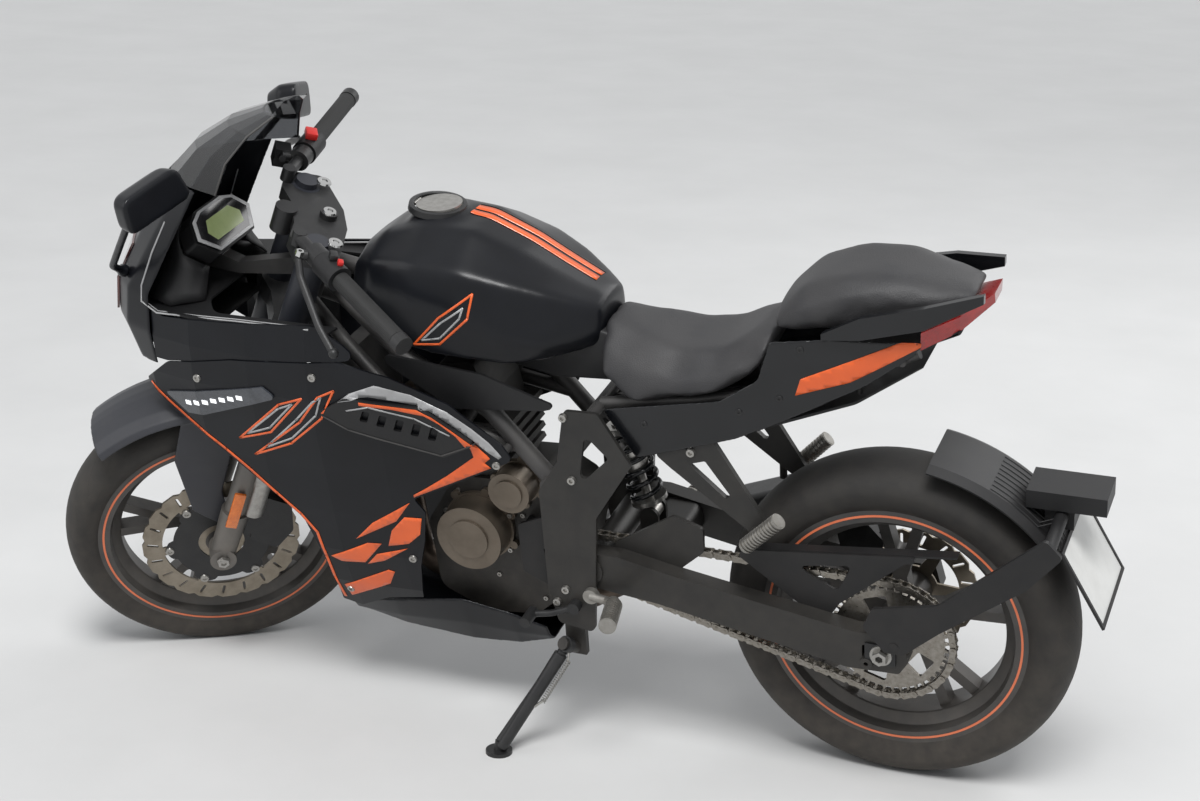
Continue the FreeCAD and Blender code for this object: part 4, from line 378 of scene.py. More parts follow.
class Bench:
    """Turns finished meshes into pieces of the bike and keeps the surfaces they sit on."""

    skins: dict[str, BVHTree] = {}

    @classmethod
    def piece(cls, name: str, mesh: bmesh.types.BMesh, finish: Finish, slot: str,
              crease: float = 35.0, place: Place = Place.BIKE,
              body: str = "chassis") -> bpy.types.Object:
        """Makes an object of a mesh in its place's millimetres.

        Args:
            name: the piece's name.
            mesh: the mesh, which is used up.
            finish: its finish.
            slot: the record's material slot, handed on to dress.
            crease: edges that turn more than this many degrees stay sharp.
            place: the axes it is drawn in.
            body: the CAD body it rides on.

        Returns:
            The new object.
        """
        mesh.transform(place.matrix())
        bmesh.ops.remove_doubles(mesh, verts=mesh.verts, dist=1e-6)
        bmesh.ops.recalc_face_normals(mesh, faces=mesh.faces)
        for face in mesh.faces:
            face.smooth = True
        for edge in mesh.edges:
            if len(edge.link_faces) == 2:
                edge.smooth = edge.calc_face_angle() < math.radians(crease)
        data = bpy.data.meshes.new(name)
        mesh.to_mesh(data)
        mesh.free()
        piece = bpy.data.objects.new(name, data)
        bpy.context.scene.collection.objects.link(piece)
        cls.dress(piece, body, finish, slot)
        return piece

    @staticmethod
    def dress(piece: bpy.types.Object, body: str, finish: Finish, slot: str) -> None:
        """Gives a piece its body and its finish.

        Args:
            piece: the piece.
            body: the CAD body it rides on.
            finish: its finish.
            slot: the record's material slot; not used.
        """
        piece.data.materials.clear()
        piece.data.materials.append(finish.material())
        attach(piece, body)
        LOG.info("%s: %d faces", piece.name, len(piece.data.polygons))

    @staticmethod
    def remeshed(node: str, name: str, voxel: float, rounds: int) -> bpy.types.Object:
        """Copies a plain solid as an even mesh with its creases smoothed.

        Args:
            node: the CAD node.
            name: the copy's name.
            voxel: how long the even mesh's edges are, in metres.
            rounds: how many times it is smoothed.

        Returns:
            The copy.
        """
        mesh = bmesh.new()
        mesh.from_mesh(frame["nodes"][node].data)
        bmesh.ops.remove_doubles(mesh, verts=mesh.verts, dist=ONE_POINT)
        data = bpy.data.meshes.new(name)
        mesh.to_mesh(data)
        mesh.free()
        copy = bpy.data.objects.new(name, data)
        bpy.context.scene.collection.objects.link(copy)
        data.remesh_voxel_size = voxel
        with bpy.context.temp_override(object=copy, active_object=copy, selected_objects=[copy]):
            bpy.ops.object.voxel_remesh()
        mesh = bmesh.new()
        mesh.from_mesh(copy.data)
        for _ in range(rounds):
            bmesh.ops.smooth_vert(mesh, verts=mesh.verts, factor=0.5, use_axis_x=True,
                                  use_axis_y=True, use_axis_z=True)
        for face in mesh.faces:
            face.smooth = True
        mesh.to_mesh(copy.data)
        mesh.free()
        return copy

    @staticmethod
    def box(mesh: bmesh.types.BMesh, centre: tuple[float, float, float],
            reach: tuple[float, float, float], edge: float = 2, segments: int = 2) -> None:
        """Adds a box with rounded edges.

        Args:
            mesh: the mesh that receives it.
            centre: its middle.
            reach: half its size each way.
            edge: how far the rounding reaches.
            segments: how many faces the rounding has.
        """
        made = bmesh.ops.create_cube(mesh, size=2, matrix=Matrix.Translation(centre)
                                     @ Matrix.Diagonal((*reach, 1)))["verts"]
        bmesh.ops.bevel(mesh, geom=list({line for vert in made for line in vert.link_edges}),
                        offset=edge, segments=segments, profile=0.5, affect="EDGES", material=-1)

    @staticmethod
    def thicken(mesh: bmesh.types.BMesh, faces: list, shift: tuple | Vector) -> None:
        """Pulls a solid out of some faces.

        Args:
            mesh: the mesh that holds them.
            faces: the faces.
            shift: where the solid's other end lies from them.
        """
        grown = bmesh.ops.extrude_face_region(mesh, geom=faces)
        top = [part for part in grown["geom"] if isinstance(part, bmesh.types.BMVert)]
        bmesh.ops.translate(mesh, verts=top, vec=shift)

    @staticmethod
    def spin(mesh: bmesh.types.BMesh, section: list, axis: tuple, steps: int,
             closed: bool = True) -> None:
        """Turns a section full circle about an axis through the middle.

        Args:
            mesh: the mesh that receives it.
            section: the section's points.
            axis: the axis's direction.
            steps: how many sections the circle has.
            closed: whether the section's last point joins its first.
        """
        verts = [mesh.verts.new(point) for point in section]
        edges = [mesh.edges.new(pair) for pair in zip(verts, verts[1:])]
        if closed:
            edges.append(mesh.edges.new((verts[-1], verts[0])))
        bmesh.ops.spin(mesh, geom=verts + edges, cent=(0, 0, 0), axis=axis, angle=math.tau,
                       steps=steps, use_merge=True)

    @staticmethod
    def wall(piece: bpy.types.Object, thickness: float) -> None:
        """Gives an open sheet its thickness, half on each side."""
        solid = piece.modifiers.new("wall", "SOLIDIFY")
        solid.thickness, solid.offset = thickness, 0

    @staticmethod
    def tube(mesh: bmesh.types.BMesh, path: list[tuple[float, float, float]], radius: float,
             sides: int = 10) -> None:
        """Adds a round tube along a line of points.

        Args:
            mesh: the mesh that receives it.
            path: the points, in order.
            radius: the tube's radius.
            sides: how many sides it has.
        """
        spots = [Vector(point) for point in path]
        rings = []
        for number, spot in enumerate(spots):
            ahead = spots[min(number + 1, len(spots) - 1)] - spots[max(number - 1, 0)]
            turn = ahead.to_track_quat("Z", "Y").to_matrix().to_4x4()
            ring = bmesh.ops.create_circle(mesh, cap_ends=number in (0, len(spots) - 1),
                                           segments=sides, radius=radius,
                                           matrix=Matrix.Translation(spot) @ turn)["verts"]
            rings.append({edge for vert in ring for edge in vert.link_edges})
        for first, last in zip(rings, rings[1:]):
            bmesh.ops.bridge_loops(mesh, edges=list(first) + list(last))

    @classmethod
    def skin(cls, node: str) -> BVHTree:
        """The surface of a CAD node, in the row frame."""
        if node not in cls.skins:
            data = frame["nodes"][node].data
            cls.skins[node] = BVHTree.FromPolygons([v.co.copy() for v in data.vertices],
                                                   [tuple(p.vertices) for p in data.polygons])
        return cls.skins[node]

    @classmethod
    def touch(cls, node: str, start: Vector, along: Vector) -> tuple[Vector, Vector] | None:
        """Follows a ray from outside to a node's surface, in the bike's millimetres.

        Args:
            node: the CAD node that is looked for.
            start: where the ray starts.
            along: its direction.

        Returns:
            The point met and the surface's outward direction there, or None.
        """
        home = Place.BIKE.matrix()
        turn = home.to_3x3().normalized()
        spot, normal, _, _ = cls.skin(node).ray_cast(home @ start, (turn @ along).normalized())
        if spot is None:
            return None
        face = turn.inverted() @ normal
        if face.dot(along) > 0:
            face.negate()
        return home.inverted() @ spot, face

    @classmethod
    def meet(cls, nodes: tuple[str, ...], start: Vector,
             along: Vector) -> tuple[Vector, Vector] | None:
        """Follows a ray to the first of several nodes; its place and direction there, or None."""
        met = [found for found in (cls.touch(node, start, along) for node in nodes) if found]
        return min(met, key=lambda found: (found[0] - start).length, default=None)

    @classmethod
    def nearest(cls, nodes: tuple[str, ...], spot: Vector) -> tuple[Vector, Vector, float]:
        """The closest place on any of the nodes, in the bike's millimetres.

        Args:
            nodes: the CAD nodes that are looked at.
            spot: the point.

        Returns:
            The closest point, the surface's direction there and the distance.
        """
        home = Place.BIKE.matrix()
        back, turn = home.inverted(), home.to_3x3().normalized().inverted()
        found = []
        for node in nodes:
            place, normal, _, gap = cls.skin(node).find_nearest(home @ spot)
            if place is not None:
                found.append((back @ place, turn @ normal, gap * 1000))
        return min(found, key=lambda each: each[2])


FLANKS = ("fairing_left", "fairing_right", "side_vents", "belly_pan")


@dataclass
class Livery:
    """Coloured films laid on the skins: stripes, wedges, sweeps and edge lines; the two vent lines
    are painted highlights.

    Each film is drawn flat as (forward, up), or (forward, across) when it falls from above,
    and is laid on the named nodes. Side films are drawn once and laid on both sides. A point
    that meets no node moves to the nearest skin within widest_gap grid steps, and a face whose
    edge is longer than longest_edge steps is left out.
    """

    grid: float = 9.0
    lift: float = 0.8
    above: float = 900.0
    film: float = 0.0004
    widest_gap: float = 1.5
    longest_edge: float = 5.0
    films: dict[str, tuple] = field(default_factory=lambda: {
        "silver_sweep": (Coat.SILVER, "side", FLANKS,
                         [(941, 699), (921, 714), (873, 734), (809, 721), (746, 692), (708, 661),
                          (681, 634), (667, 614), (662, 605), (668, 600), (684, 612), (710, 638),
                          (742, 665), (774, 690), (799, 702), (844, 707), (887, 711)]),
        "orange_sweep": (Coat.ORANGE, "side", FLANKS,
                         [(901, 703), (844, 700), (797, 697), (772, 684), (741, 659), (709, 631),
                          (688, 607), (683, 600), (694, 590), (684, 580), (742, 551), (836, 503),
                          (836, 508), (813, 523), (766, 557), (712, 601), (715, 617), (734, 647),
                          (761, 672), (785, 686), (840, 694), (901, 697)]),
        "sliver_wedge": (Coat.ORANGE, "side", FLANKS,
                         [(968, 392), (927, 435), (846, 490), (879, 445)]),
        "rear_wedge": (Coat.ORANGE, "side", FLANKS,
                       [(905, 385), (892, 422), (862, 456), (829, 457), (838, 420), (863, 396)]),
        "front_wedge": (Coat.ORANGE, "side", FLANKS,
                        [(1030, 341), (946, 386), (918, 388), (961, 337), (1010, 332)]),
        "low_wedge": (Coat.ORANGE, "side", FLANKS,
                      [(957, 334), (932, 362), (868, 384), (920, 348)]),
        "lower_block": (Coat.ORANGE, "side", FLANKS,
                        [(1022, 268), (918, 325), (906, 322), (922, 290), (1016, 238)]),
        "tail_stripe": (Coat.ORANGE, "side", ("tail_panels",),
                        [(150, 768), (60, 800), (-60, 872), (-84, 884), (-70, 892), (-20, 874),
                         (70, 834), (140, 800)]),
        "tank_stripe_left": (Coat.ORANGE, "top", ("fuel_tank",),
                             [(762, -2), (640, -2), (536, -3), (536, -19), (640, -18),
                              (762, -18)]),
        "tank_stripe_right": (Coat.ORANGE, "top", ("fuel_tank",),
                              [(762, -24), (640, -25), (536, -26), (536, -42), (640, -42),
                               (762, -42)]),
        "tank_stripe_line": (Coat.INK, "top", ("fuel_tank",),
                             [(762, -46), (640, -46), (536, -46), (536, -49), (640, -49),
                              (762, -50)]),
    })
    lines: dict[str, tuple] = field(default_factory=lambda: {
        "front_edge_line": (Coat.ORANGE, FLANKS, 6.0, False,
                            [(1352, 660), (1322, 636), (1254, 588), (1204, 551), (1160, 515),
                             (1112, 471), (1072, 432), (1046, 394), (1040, 340), (1036, 285),
                             (1032, 232)]),
        # Painted highlights: pale lines along the vent scoop's lower edges stand in for the light
        # its bevels catch.
        "vent_edge": (Coat.FRAME_AND_HIGHLIGHT, ("side_vents",) + FLANKS, 3.0, False,
                      [(980, 671), (930, 643), (766, 604), (704, 631)]),
        "vent_light_line": (Coat.SILVER, ("side_vents",) + FLANKS, 3.0, False,
                            [(926, 684), (884, 695), (803, 679), (745, 648)]),
        "long_shard": (Coat.ORANGE, FLANKS, 4.0, True,
                       [(1166, 584), (1064, 674), (1014, 694), (1094, 610)]),
        "long_shard_inner": (Coat.SILVER, FLANKS, 3.5, True,
                             [(1146, 598), (1068, 664), (1036, 679), (1094, 620)]),
        "high_shard": (Coat.ORANGE, FLANKS, 4.0, True,
                       [(1140, 553), (1028, 642), (982, 700), (950, 716), (982, 657),
                        (1056, 592)]),
        "high_shard_inner": (Coat.SILVER, FLANKS, 3.5, True,
                             [(1112, 574), (1036, 645), (993, 690), (976, 700), (992, 662),
                              (1052, 604)]),
        "tank_shard": (Coat.ORANGE, ("fuel_tank",), 4.0, True,
                       [(820, 790), (762, 852), (700, 898), (708, 856), (768, 799)]),
        "tank_shard_inner": (Coat.SILVER, ("fuel_tank",), 3.5, True,
                             [(803, 801), (760, 842), (716, 874), (722, 856), (766, 811)]),
    })

    def build(self) -> None:
        """Lays every film."""
        for name, (finish, way, nodes, outline) in self.films.items():
            if way == "top":
                self.lay(name, finish, nodes, outline, Vector((0, 0, -1)))
                continue
            self.lay(name + "_left", finish, nodes, outline, Vector((0, -1, 0)))
            self.lay(name + "_right", finish, nodes, outline, Vector((0, 1, 0)))
        for name, (finish, nodes, width, closed, path) in self.lines.items():
            legs = list(zip(path, path[1:] + path[:1] if closed else path[1:]))
            for number, (start, end) in enumerate(legs):
                ahead = Vector((end[0] - start[0], end[1] - start[1]))
                ahead.normalize()
                across = Vector((-ahead.y, ahead.x)) * width / 2
                first, last = Vector(start) - ahead * width / 4, Vector(end) + ahead * width / 4
                strip = [tuple(first + across), tuple(last + across), tuple(last - across),
                         tuple(first - across)]
                for side, along in (("left", -1), ("right", 1)):
                    self.lay(f"{name}_{number}_{side}", finish, nodes, strip,
                             Vector((0, along, 0)))
        self.gather()

    def gather(self) -> None:
        """Joins the films of each finish into one piece."""
        groups: dict[str, list] = {}
        for piece in [found for found in bpy.data.objects if found.get("film")]:
            groups.setdefault(piece["film"], []).append(piece)
        for finish, pieces in groups.items():
            first = pieces[0]
            with bpy.context.temp_override(active_object=first, object=first,
                                           selected_objects=pieces,
                                           selected_editable_objects=pieces):
                bpy.ops.object.join()
            first.name = finish + "_films"
            Bench.wall(first, self.film)

    def lay(self, name: str, finish: Finish, nodes: tuple[str, ...],
            outline: list[tuple[float, float]], along: Vector) -> None:
        """Lays one film on the first node that each point of it meets.

        Args:
            name: the film's name.
            finish: its finish.
            nodes: the CAD nodes it may lie on.
            outline: its corners, drawn flat.
            along: the direction in which it is pressed on.
        """
        film = bmesh.new()
        from_top = along.z != 0
        flat = [Vector((a, b, self.above) if from_top else (a, 0, b)) - along * OUTSIDE
                for a, b in outline]
        film.faces.new([film.verts.new(point) for point in flat])
        for axis in (Vector((1, 0, 0)), Vector((0, 1, 0)) if from_top else Vector((0, 0, 1))):
            spread = [point.dot(axis) for point in flat]
            for step in range(1, int((max(spread) - min(spread)) / self.grid) + 1):
                bmesh.ops.bisect_plane(film, geom=film.verts[:] + film.edges[:] + film.faces[:],
                                       plane_co=axis * (min(spread) + step * self.grid),
                                       plane_no=axis, dist=0.01)
        missed, laid = [], []
        for vert in film.verts:
            met = Bench.meet(nodes, vert.co, along)
            if met is None:
                missed.append((vert, vert.co.copy()))
                continue
            spot, normal = met
            laid.append((vert.co.copy(), spot))
            vert.co = spot + normal * self.lift
        beyond = []
        for vert, flat_spot in missed:
            beside = min(laid, key=lambda pair: (pair[0] - flat_spot).length, default=None)
            if beside is None:
                beyond.append(vert)
                continue
            guess = flat_spot + along * (beside[1] - beside[0]).dot(along)
            spot, normal, gap = Bench.nearest(nodes, guess)
            if gap > self.grid * self.widest_gap:
                beyond.append(vert)
            else:
                vert.co = spot + normal * self.lift
        bmesh.ops.delete(film, geom=beyond, context="VERTS")
        torn = [face for face in film.faces
                if max(edge.calc_length() for edge in face.edges) > self.grid * self.longest_edge]
        bmesh.ops.delete(film, geom=torn, context="FACES")
        loose = [vert for vert in film.verts if not vert.link_faces]
        bmesh.ops.delete(film, geom=loose, context="VERTS")
        if not film.faces:
            film.free()
            LOG.warning("%s lies on nothing", name)
            return
        piece = Bench.piece(name, film, finish, "body_black", crease=60)
        piece["film"] = finish.name


@dataclass
class Fasteners:
    """Socket screws and panel bolts, each set on the surface that it holds."""

    sides: int = 16
    panel: tuple = ((1231, 699), (988, 738), (674, 586), (1012, 258), (862, 361))
    covers: tuple = ((560, 330), (548, 400), (797, 472), (673, 438), (729, 306), (640, 270),
                     (809, 360), (756, 338), (703, 361), (694, 440), (826, 425), (640, 545),
                     (706, 545), (628, 500), (716, 492))
    heel: tuple = ((566, 346), (584, 318), (513, 302), (505, 422), (540, 570), (548, 690),
                   (334, 636), (236, 640))
    tail: tuple = ((139, 853), (412, 683), (245, 727), (176, 760))

    def screw(self, mesh: bmesh.types.BMesh, place: Matrix, radius: float, height: float) -> None:
        """Adds one head with its socket.

        Args:
            mesh: the mesh that receives it.
            place: the head's foot, with its axis along Z.
            radius: the head's radius in millimetres.
            height: the head's height.
        """
        made = bmesh.ops.create_cone(mesh, cap_ends=True, segments=self.sides, radius1=radius,
                                     radius2=radius * 0.88, depth=height)
        verts = made["verts"]
        bmesh.ops.translate(mesh, verts=verts, vec=(0, 0, height / 2))
        top = max((face for vert in verts for face in vert.link_faces),
                  key=lambda face: face.calc_center_median().z)
        bmesh.ops.inset_region(mesh, faces=[top], thickness=radius * 0.42)
        sunk = bmesh.ops.extrude_discrete_faces(mesh, faces=[top])["faces"]
        floor = list({vert for face in sunk for vert in face.verts})
        bmesh.ops.translate(mesh, verts=floor, vec=(0, 0, -height * 0.55))
        ring = set(verts) | set(floor)
        grown = set(ring)
        for vert in ring:
            for edge in vert.link_edges:
                grown.add(edge.other_vert(vert))
        bmesh.ops.transform(mesh, matrix=place, verts=list(grown))

    def row(self, name: str, spots: tuple, nodes: tuple[str, ...], radius: float, height: float,
            finish: Finish, slot: str) -> None:
        """Sets a row of screws on both sides.

        Args:
            name: the piece's name.
            spots: their (forward, up) places.
            nodes: the CAD nodes that they may sit on.
            radius: the head's radius.
            height: the head's height.
            finish: their finish.
            slot: the record's material slot.
        """
        mesh = bmesh.new()
        for side in (1, -1):
            along = Vector((0, -side, 0))
            for forward, up in spots:
                met = Bench.meet(nodes, Vector((forward, side * OUTSIDE, up)), along)
                if met is None:
                    continue
                spot, normal = met
                turn = normal.to_track_quat("Z", "Y").to_matrix().to_4x4()
                self.screw(mesh, Matrix.Translation(spot - normal * 0.5) @ turn, radius, height)
        Bench.piece(name, mesh, finish, slot)

    def build(self) -> None:
        """Sets all the rows."""
        self.row("fairing_bolts", self.panel, ("fairing_left", "fairing_right", "belly_pan"),
                 8, 3.5, Coat.STEEL, "peg_metal")
        self.row("cover_screws", self.covers,
                 ("engine_covers", "clutch_cover", "sprocket_cover", "engine"),
                 5, 4, Coat.STEEL, "peg_metal")
        self.row("heel_bolts", self.heel, ("heel_plates", "passenger_pegs"),
                 8, 6, Coat.STEEL, "peg_metal")
        self.row("tail_screws", self.tail, ("tail_panels", "side_covers"),
                 6, 2.5, Coat.CLAMP, "trim_plastic")


@dataclass
class Tyre:
    """A road tyre with a rounded crown and slanted grooves."""

    name: str
    node: str
    place: Place
    body: str
    centre: tuple[float, float, float]
    radius: float
    half_width: float
    half_seat: float
    groove_count: int = 26
    steps: int = 96
    bead: float = 228.0
    shoulder: float = 0.46
    arc_steps: int = 9
    groove_lean: float = 26.0
    groove_width: float = 0.16
    rib_half: float = 0.008
    groove_reach: float = 0.00088
    groove_depth: float = 0.004

    def build(self) -> None:
        """Spins the section and dresses it."""
        mesh = bmesh.new()
        depth = self.radius - self.bead
        section = [(self.half_seat - 8, self.bead), (self.half_seat, self.bead + 4),
                   (self.half_seat + 6, self.bead + depth * 0.22),
                   (self.half_width, self.bead + depth * self.shoulder)]
        for step in range(1, self.arc_steps + 1):
            turn = math.pi / 2 * step / self.arc_steps
            section.append((self.half_width * math.cos(turn), self.bead + depth * self.shoulder
                            + depth * (1 - self.shoulder) * math.sin(turn)))
        section += [(-across, up) for across, up in reversed(section[:-1])]
        Bench.spin(mesh, [(0, across, up) for across, up in section], (0, 1, 0), self.steps)
        bmesh.ops.remove_doubles(mesh, verts=mesh.verts, dist=0.01)
        bmesh.ops.translate(mesh, verts=mesh.verts, vec=self.centre)
        tyre = Bench.piece(self.name, mesh, self.tread(), "tyre", 50, place=self.place,
                           body=self.body)
        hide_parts(self.node)

    def tread(self) -> Finish:
        """The rubber, with grooves cut round this wheel's axle.

        Returns:
            The finish whose material carries the grooves.
        """
        rubber = Finish(self.name + "_rubber", Coat.TYRE.tone, Coat.TYRE.drift, rough=0.72,
                        grain_size=0.0014, relief=0.35, dust=0.28, specular=0.35)
        tree = rubber.material().node_tree
        axle = self.place.matrix() @ Matrix.Translation(self.centre)
        turned = axle.inverted().to_3x3().normalized().to_euler()
        where = next(node for node in tree.nodes if node.type == "TEX_COORD").outputs["Object"]
        shift = wire(tree, "Mapping", {
            "Rotation": turned, "Location": -(turned.to_matrix() @ axle.translation),
            "Vector": where})
        parts = wire(tree, "SeparateXYZ", {"Vector": shift.outputs["Vector"]}).outputs
        angle = sum_of(tree, "ARCTAN2", parts["Z"], parts["X"])
        across = sum_of(tree, "ABSOLUTE", parts["Y"])
        slant = sum_of(tree, "MULTIPLY", across, self.groove_lean)
        phase = sum_of(tree, "ADD", sum_of(tree, "MULTIPLY", angle,
                                           self.groove_count / math.tau), slant)
        wave = sum_of(tree, "ABSOLUTE", sum_of(tree, "SINE",
                                               sum_of(tree, "MULTIPLY", phase, math.pi)))
        groove = sum_of(tree, "LESS_THAN", wave, self.groove_width)
        band = sum_of(tree, "MULTIPLY", sum_of(tree, "GREATER_THAN", across, self.rib_half),
                      sum_of(tree, "LESS_THAN", across, self.half_width * self.groove_reach))
        bump = next(node for node in tree.nodes if node.type == "BUMP")
        deep = wire(tree, "Bump", {
            "Strength": 1.0, "Distance": self.groove_depth, "Normal": bump.outputs["Normal"],
            "Height": sum_of(tree, "MULTIPLY", groove, band)}, invert=True)
        tree.links.new(deep.outputs["Normal"],
                       tree.nodes["Principled BSDF"].inputs["Normal"])
        return rubber


@dataclass
class RimLine:
    """The thin coloured line on each side of a wheel's rim."""

    name: str
    place: Place
    body: str
    centre: tuple[float, float, float]
    side: float
    inner: float = 219.5
    outer: float = 223.5
    thick: float = 0.6
    steps: int = 120

    def build(self) -> None:
        """Spins a flat band on each side."""
        mesh = bmesh.new()
        for side in (1, -1):
            face, back = side * self.side, side * (self.side + self.thick)
            Bench.spin(mesh, [(0, face, self.inner), (0, face, self.outer),
                              (0, back, self.outer), (0, back, self.inner)], (0, 1, 0),
                       self.steps)
        bmesh.ops.translate(mesh, verts=mesh.verts, vec=self.centre)
        Bench.piece(self.name, mesh, Coat.SALMON, "wheel_paint", place=self.place, body=self.body)


@dataclass
class RollerChain:
    """The drive chain, link by link round its two sprockets."""

    pitch: float = 15.875
    front_teeth: int = 14
    rear_teeth: int = 44
    front: tuple[float, float] = (600.0, 395.0)
    rear: tuple[float, float] = (0.0, 309.0)
    side: float = 88.0
    half_gap: float = 5.2
    plate: float = 1.7
    plate_radius: float = 7.0
    waist: float = 0.72
    pin: float = 2.6
    roller: float = 4.6

    def route(self) -> list[tuple[Vector, float]]:
        """The pins' places round the loop.

        Returns:
            Each link's middle and its turn in radians.
        """
        small = self.pitch / (2 * math.sin(math.pi / self.front_teeth))
        large = self.pitch / (2 * math.sin(math.pi / self.rear_teeth))
        front, rear = Vector(self.front), Vector(self.rear)
        gap = front - rear
        slope, lead = math.atan2(gap.y, gap.x), math.acos((large - small) / gap.length)
        straight = math.sqrt(gap.length ** 2 - (large - small) ** 2)
        arcs = (2 * lead * small, (math.tau - 2 * lead) * large)
        total = 2 * straight + sum(arcs)
        count = 2 * round(total / self.pitch / 2)
        links = []
        for i in range(count):
            run = total * (i + 0.5) / count
            if run < straight:
                angle, hub, radius, travel = slope + lead, rear, large, run
            elif run < straight + arcs[0]:
                angle, hub, radius, travel = (slope + lead - (run - straight) / small, front,
                                              small, 0.0)
            elif run < 2 * straight + arcs[0]:
                angle, hub, radius = slope - lead, front, small
                travel = run - straight - arcs[0]
            else:
                angle, hub, radius, travel = (slope - lead - (run - 2 * straight - arcs[0])
                                              / large, rear, large, 0.0)
            out = Vector((math.cos(angle), math.sin(angle)))
            ahead = Vector((out.y, -out.x))
            links.append((hub + out * radius + ahead * travel, math.atan2(ahead.y, ahead.x)))
        return links

    def build(self) -> None:
        """Builds the plates, pins and rollers and stands them for the plain loop."""
        mesh = bmesh.new()
        for number, (middle, turn) in enumerate(self.route()):
            outer = number % 2 == 0
            place = (Matrix.Translation((middle.x, self.side, middle.y))
                     @ Matrix.Rotation(-turn, 4, "Y"))
            for side in (1, -1):
                lay = side * (self.half_gap + (self.plate * 1.25 if outer else 0))
                self.plate_at(mesh, place, lay)
            for end in (-0.5, 0.5):
                reach = self.half_gap + self.plate * 2.2 if outer else self.half_gap
                radius = self.pin if outer else self.roller
                pin = bmesh.ops.create_cone(mesh, cap_ends=True, segments=8, radius1=radius,
                                            radius2=radius, depth=2 * reach)
                bmesh.ops.transform(mesh, verts=pin["verts"], matrix=place
                                    @ Matrix.Translation((end * self.pitch, 0, 0))
                                    @ Matrix.Rotation(math.pi / 2, 4, "X"))
        links = Bench.piece("chain_links", mesh, Coat.CHAIN, "chain_steel")
        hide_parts("chain")

    def plate_at(self, mesh: bmesh.types.BMesh, place: Matrix, lay: float) -> None:
        """Adds one waisted side plate.

        Args:
            mesh: the chain's mesh.
            place: the link's place.
            lay: how far the plate lies from the chain's middle.
        """
        outline = bmesh.ops.create_circle(mesh, cap_ends=True, segments=14,
                                          radius=self.plate_radius)["verts"]
        for vert in outline:
            shift = self.pitch * 0.5 if vert.co.x > 0.1 else (
                -self.pitch * 0.5 if vert.co.x < -0.1 else 0.0)
            vert.co.x += shift
            if shift == 0.0:
                vert.co.y *= self.waist
        face = outline[0].link_faces[0]
        grown = bmesh.ops.extrude_discrete_faces(mesh, faces=[face])
        top = list({vert for found in grown["faces"] for vert in found.verts})
        bmesh.ops.translate(mesh, verts=top, vec=(0, 0, self.plate))
        bmesh.ops.transform(mesh, verts=outline + top, matrix=place
                            @ Matrix.Translation((0, lay - self.plate / 2, 0))
                            @ Matrix.Rotation(-math.pi / 2, 4, "X"))


@dataclass
class Cushion:
    """A padded seat swollen by cloth from its plain solid."""

    name: str
    node: str
    voxel: float = 0.006
    rounds: int = 13
    cap: float = 0.008
    pressure: float = 3.0
    frames: int = 20
    relax: int = 14
    fill: float = 0.85

    def build(self) -> None:
        """Swells the pad and closes it with a fine surface."""
        pad = Bench.remeshed(self.node, self.name, self.voxel, self.rounds)
        self.swell(pad)
        smooth = pad.modifiers.new("smooth", "SMOOTH")
        smooth.factor, smooth.iterations = 0.5, self.relax
        finer = pad.modifiers.new("finer", "SUBSURF")
        finer.levels = finer.render_levels = 1
        Bench.dress(pad, "chassis", Coat.SEAT, "seat_cover")
        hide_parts(self.node)

    def swell(self, pad: bpy.types.Object) -> None:
        """Runs the cloth and caps how far a point may move.

        Args:
            pad: the remeshed cushion.
        """
        start = [vert.co.copy() for vert in pad.data.vertices]
        cloth = pad.modifiers.new("cloth", "CLOTH")
        cloth.settings.use_pressure = True
        cloth.settings.uniform_pressure_force = self.pressure
        cloth.settings.effector_weights.gravity = 0
        scene = bpy.context.scene
        for number in range(1, self.frames + 1):
            scene.frame_set(number)
        shaped = pad.evaluated_get(bpy.context.evaluated_depsgraph_get())
        for vert, first, moved in zip(pad.data.vertices, start, shaped.data.vertices):
            travel = moved.co - first
            if travel.length > self.cap:
                travel *= self.cap / travel.length
            vert.co = first + travel
        pad.modifiers.remove(cloth)
        scene.frame_set(1)


@dataclass
class MouldedSkin:
    """A closed body piece whose creases are rounded as a moulding's are."""

    name: str
    node: str
    finish: Finish
    slot: str
    voxel: float = 0.005
    rounds: int = 14
    body: str = "chassis"

    def build(self) -> None:
        """Copies the plain solid, rounds it and stands it for the solid."""
        shell = Bench.remeshed(self.node, self.name, self.voxel, self.rounds)
        mesh = bmesh.new()
        mesh.from_mesh(shell.data)
        Bench.skins[self.node] = BVHTree.FromBMesh(mesh)
        mesh.free()
        Bench.dress(shell, self.body, self.finish, self.slot)
        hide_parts(self.node)


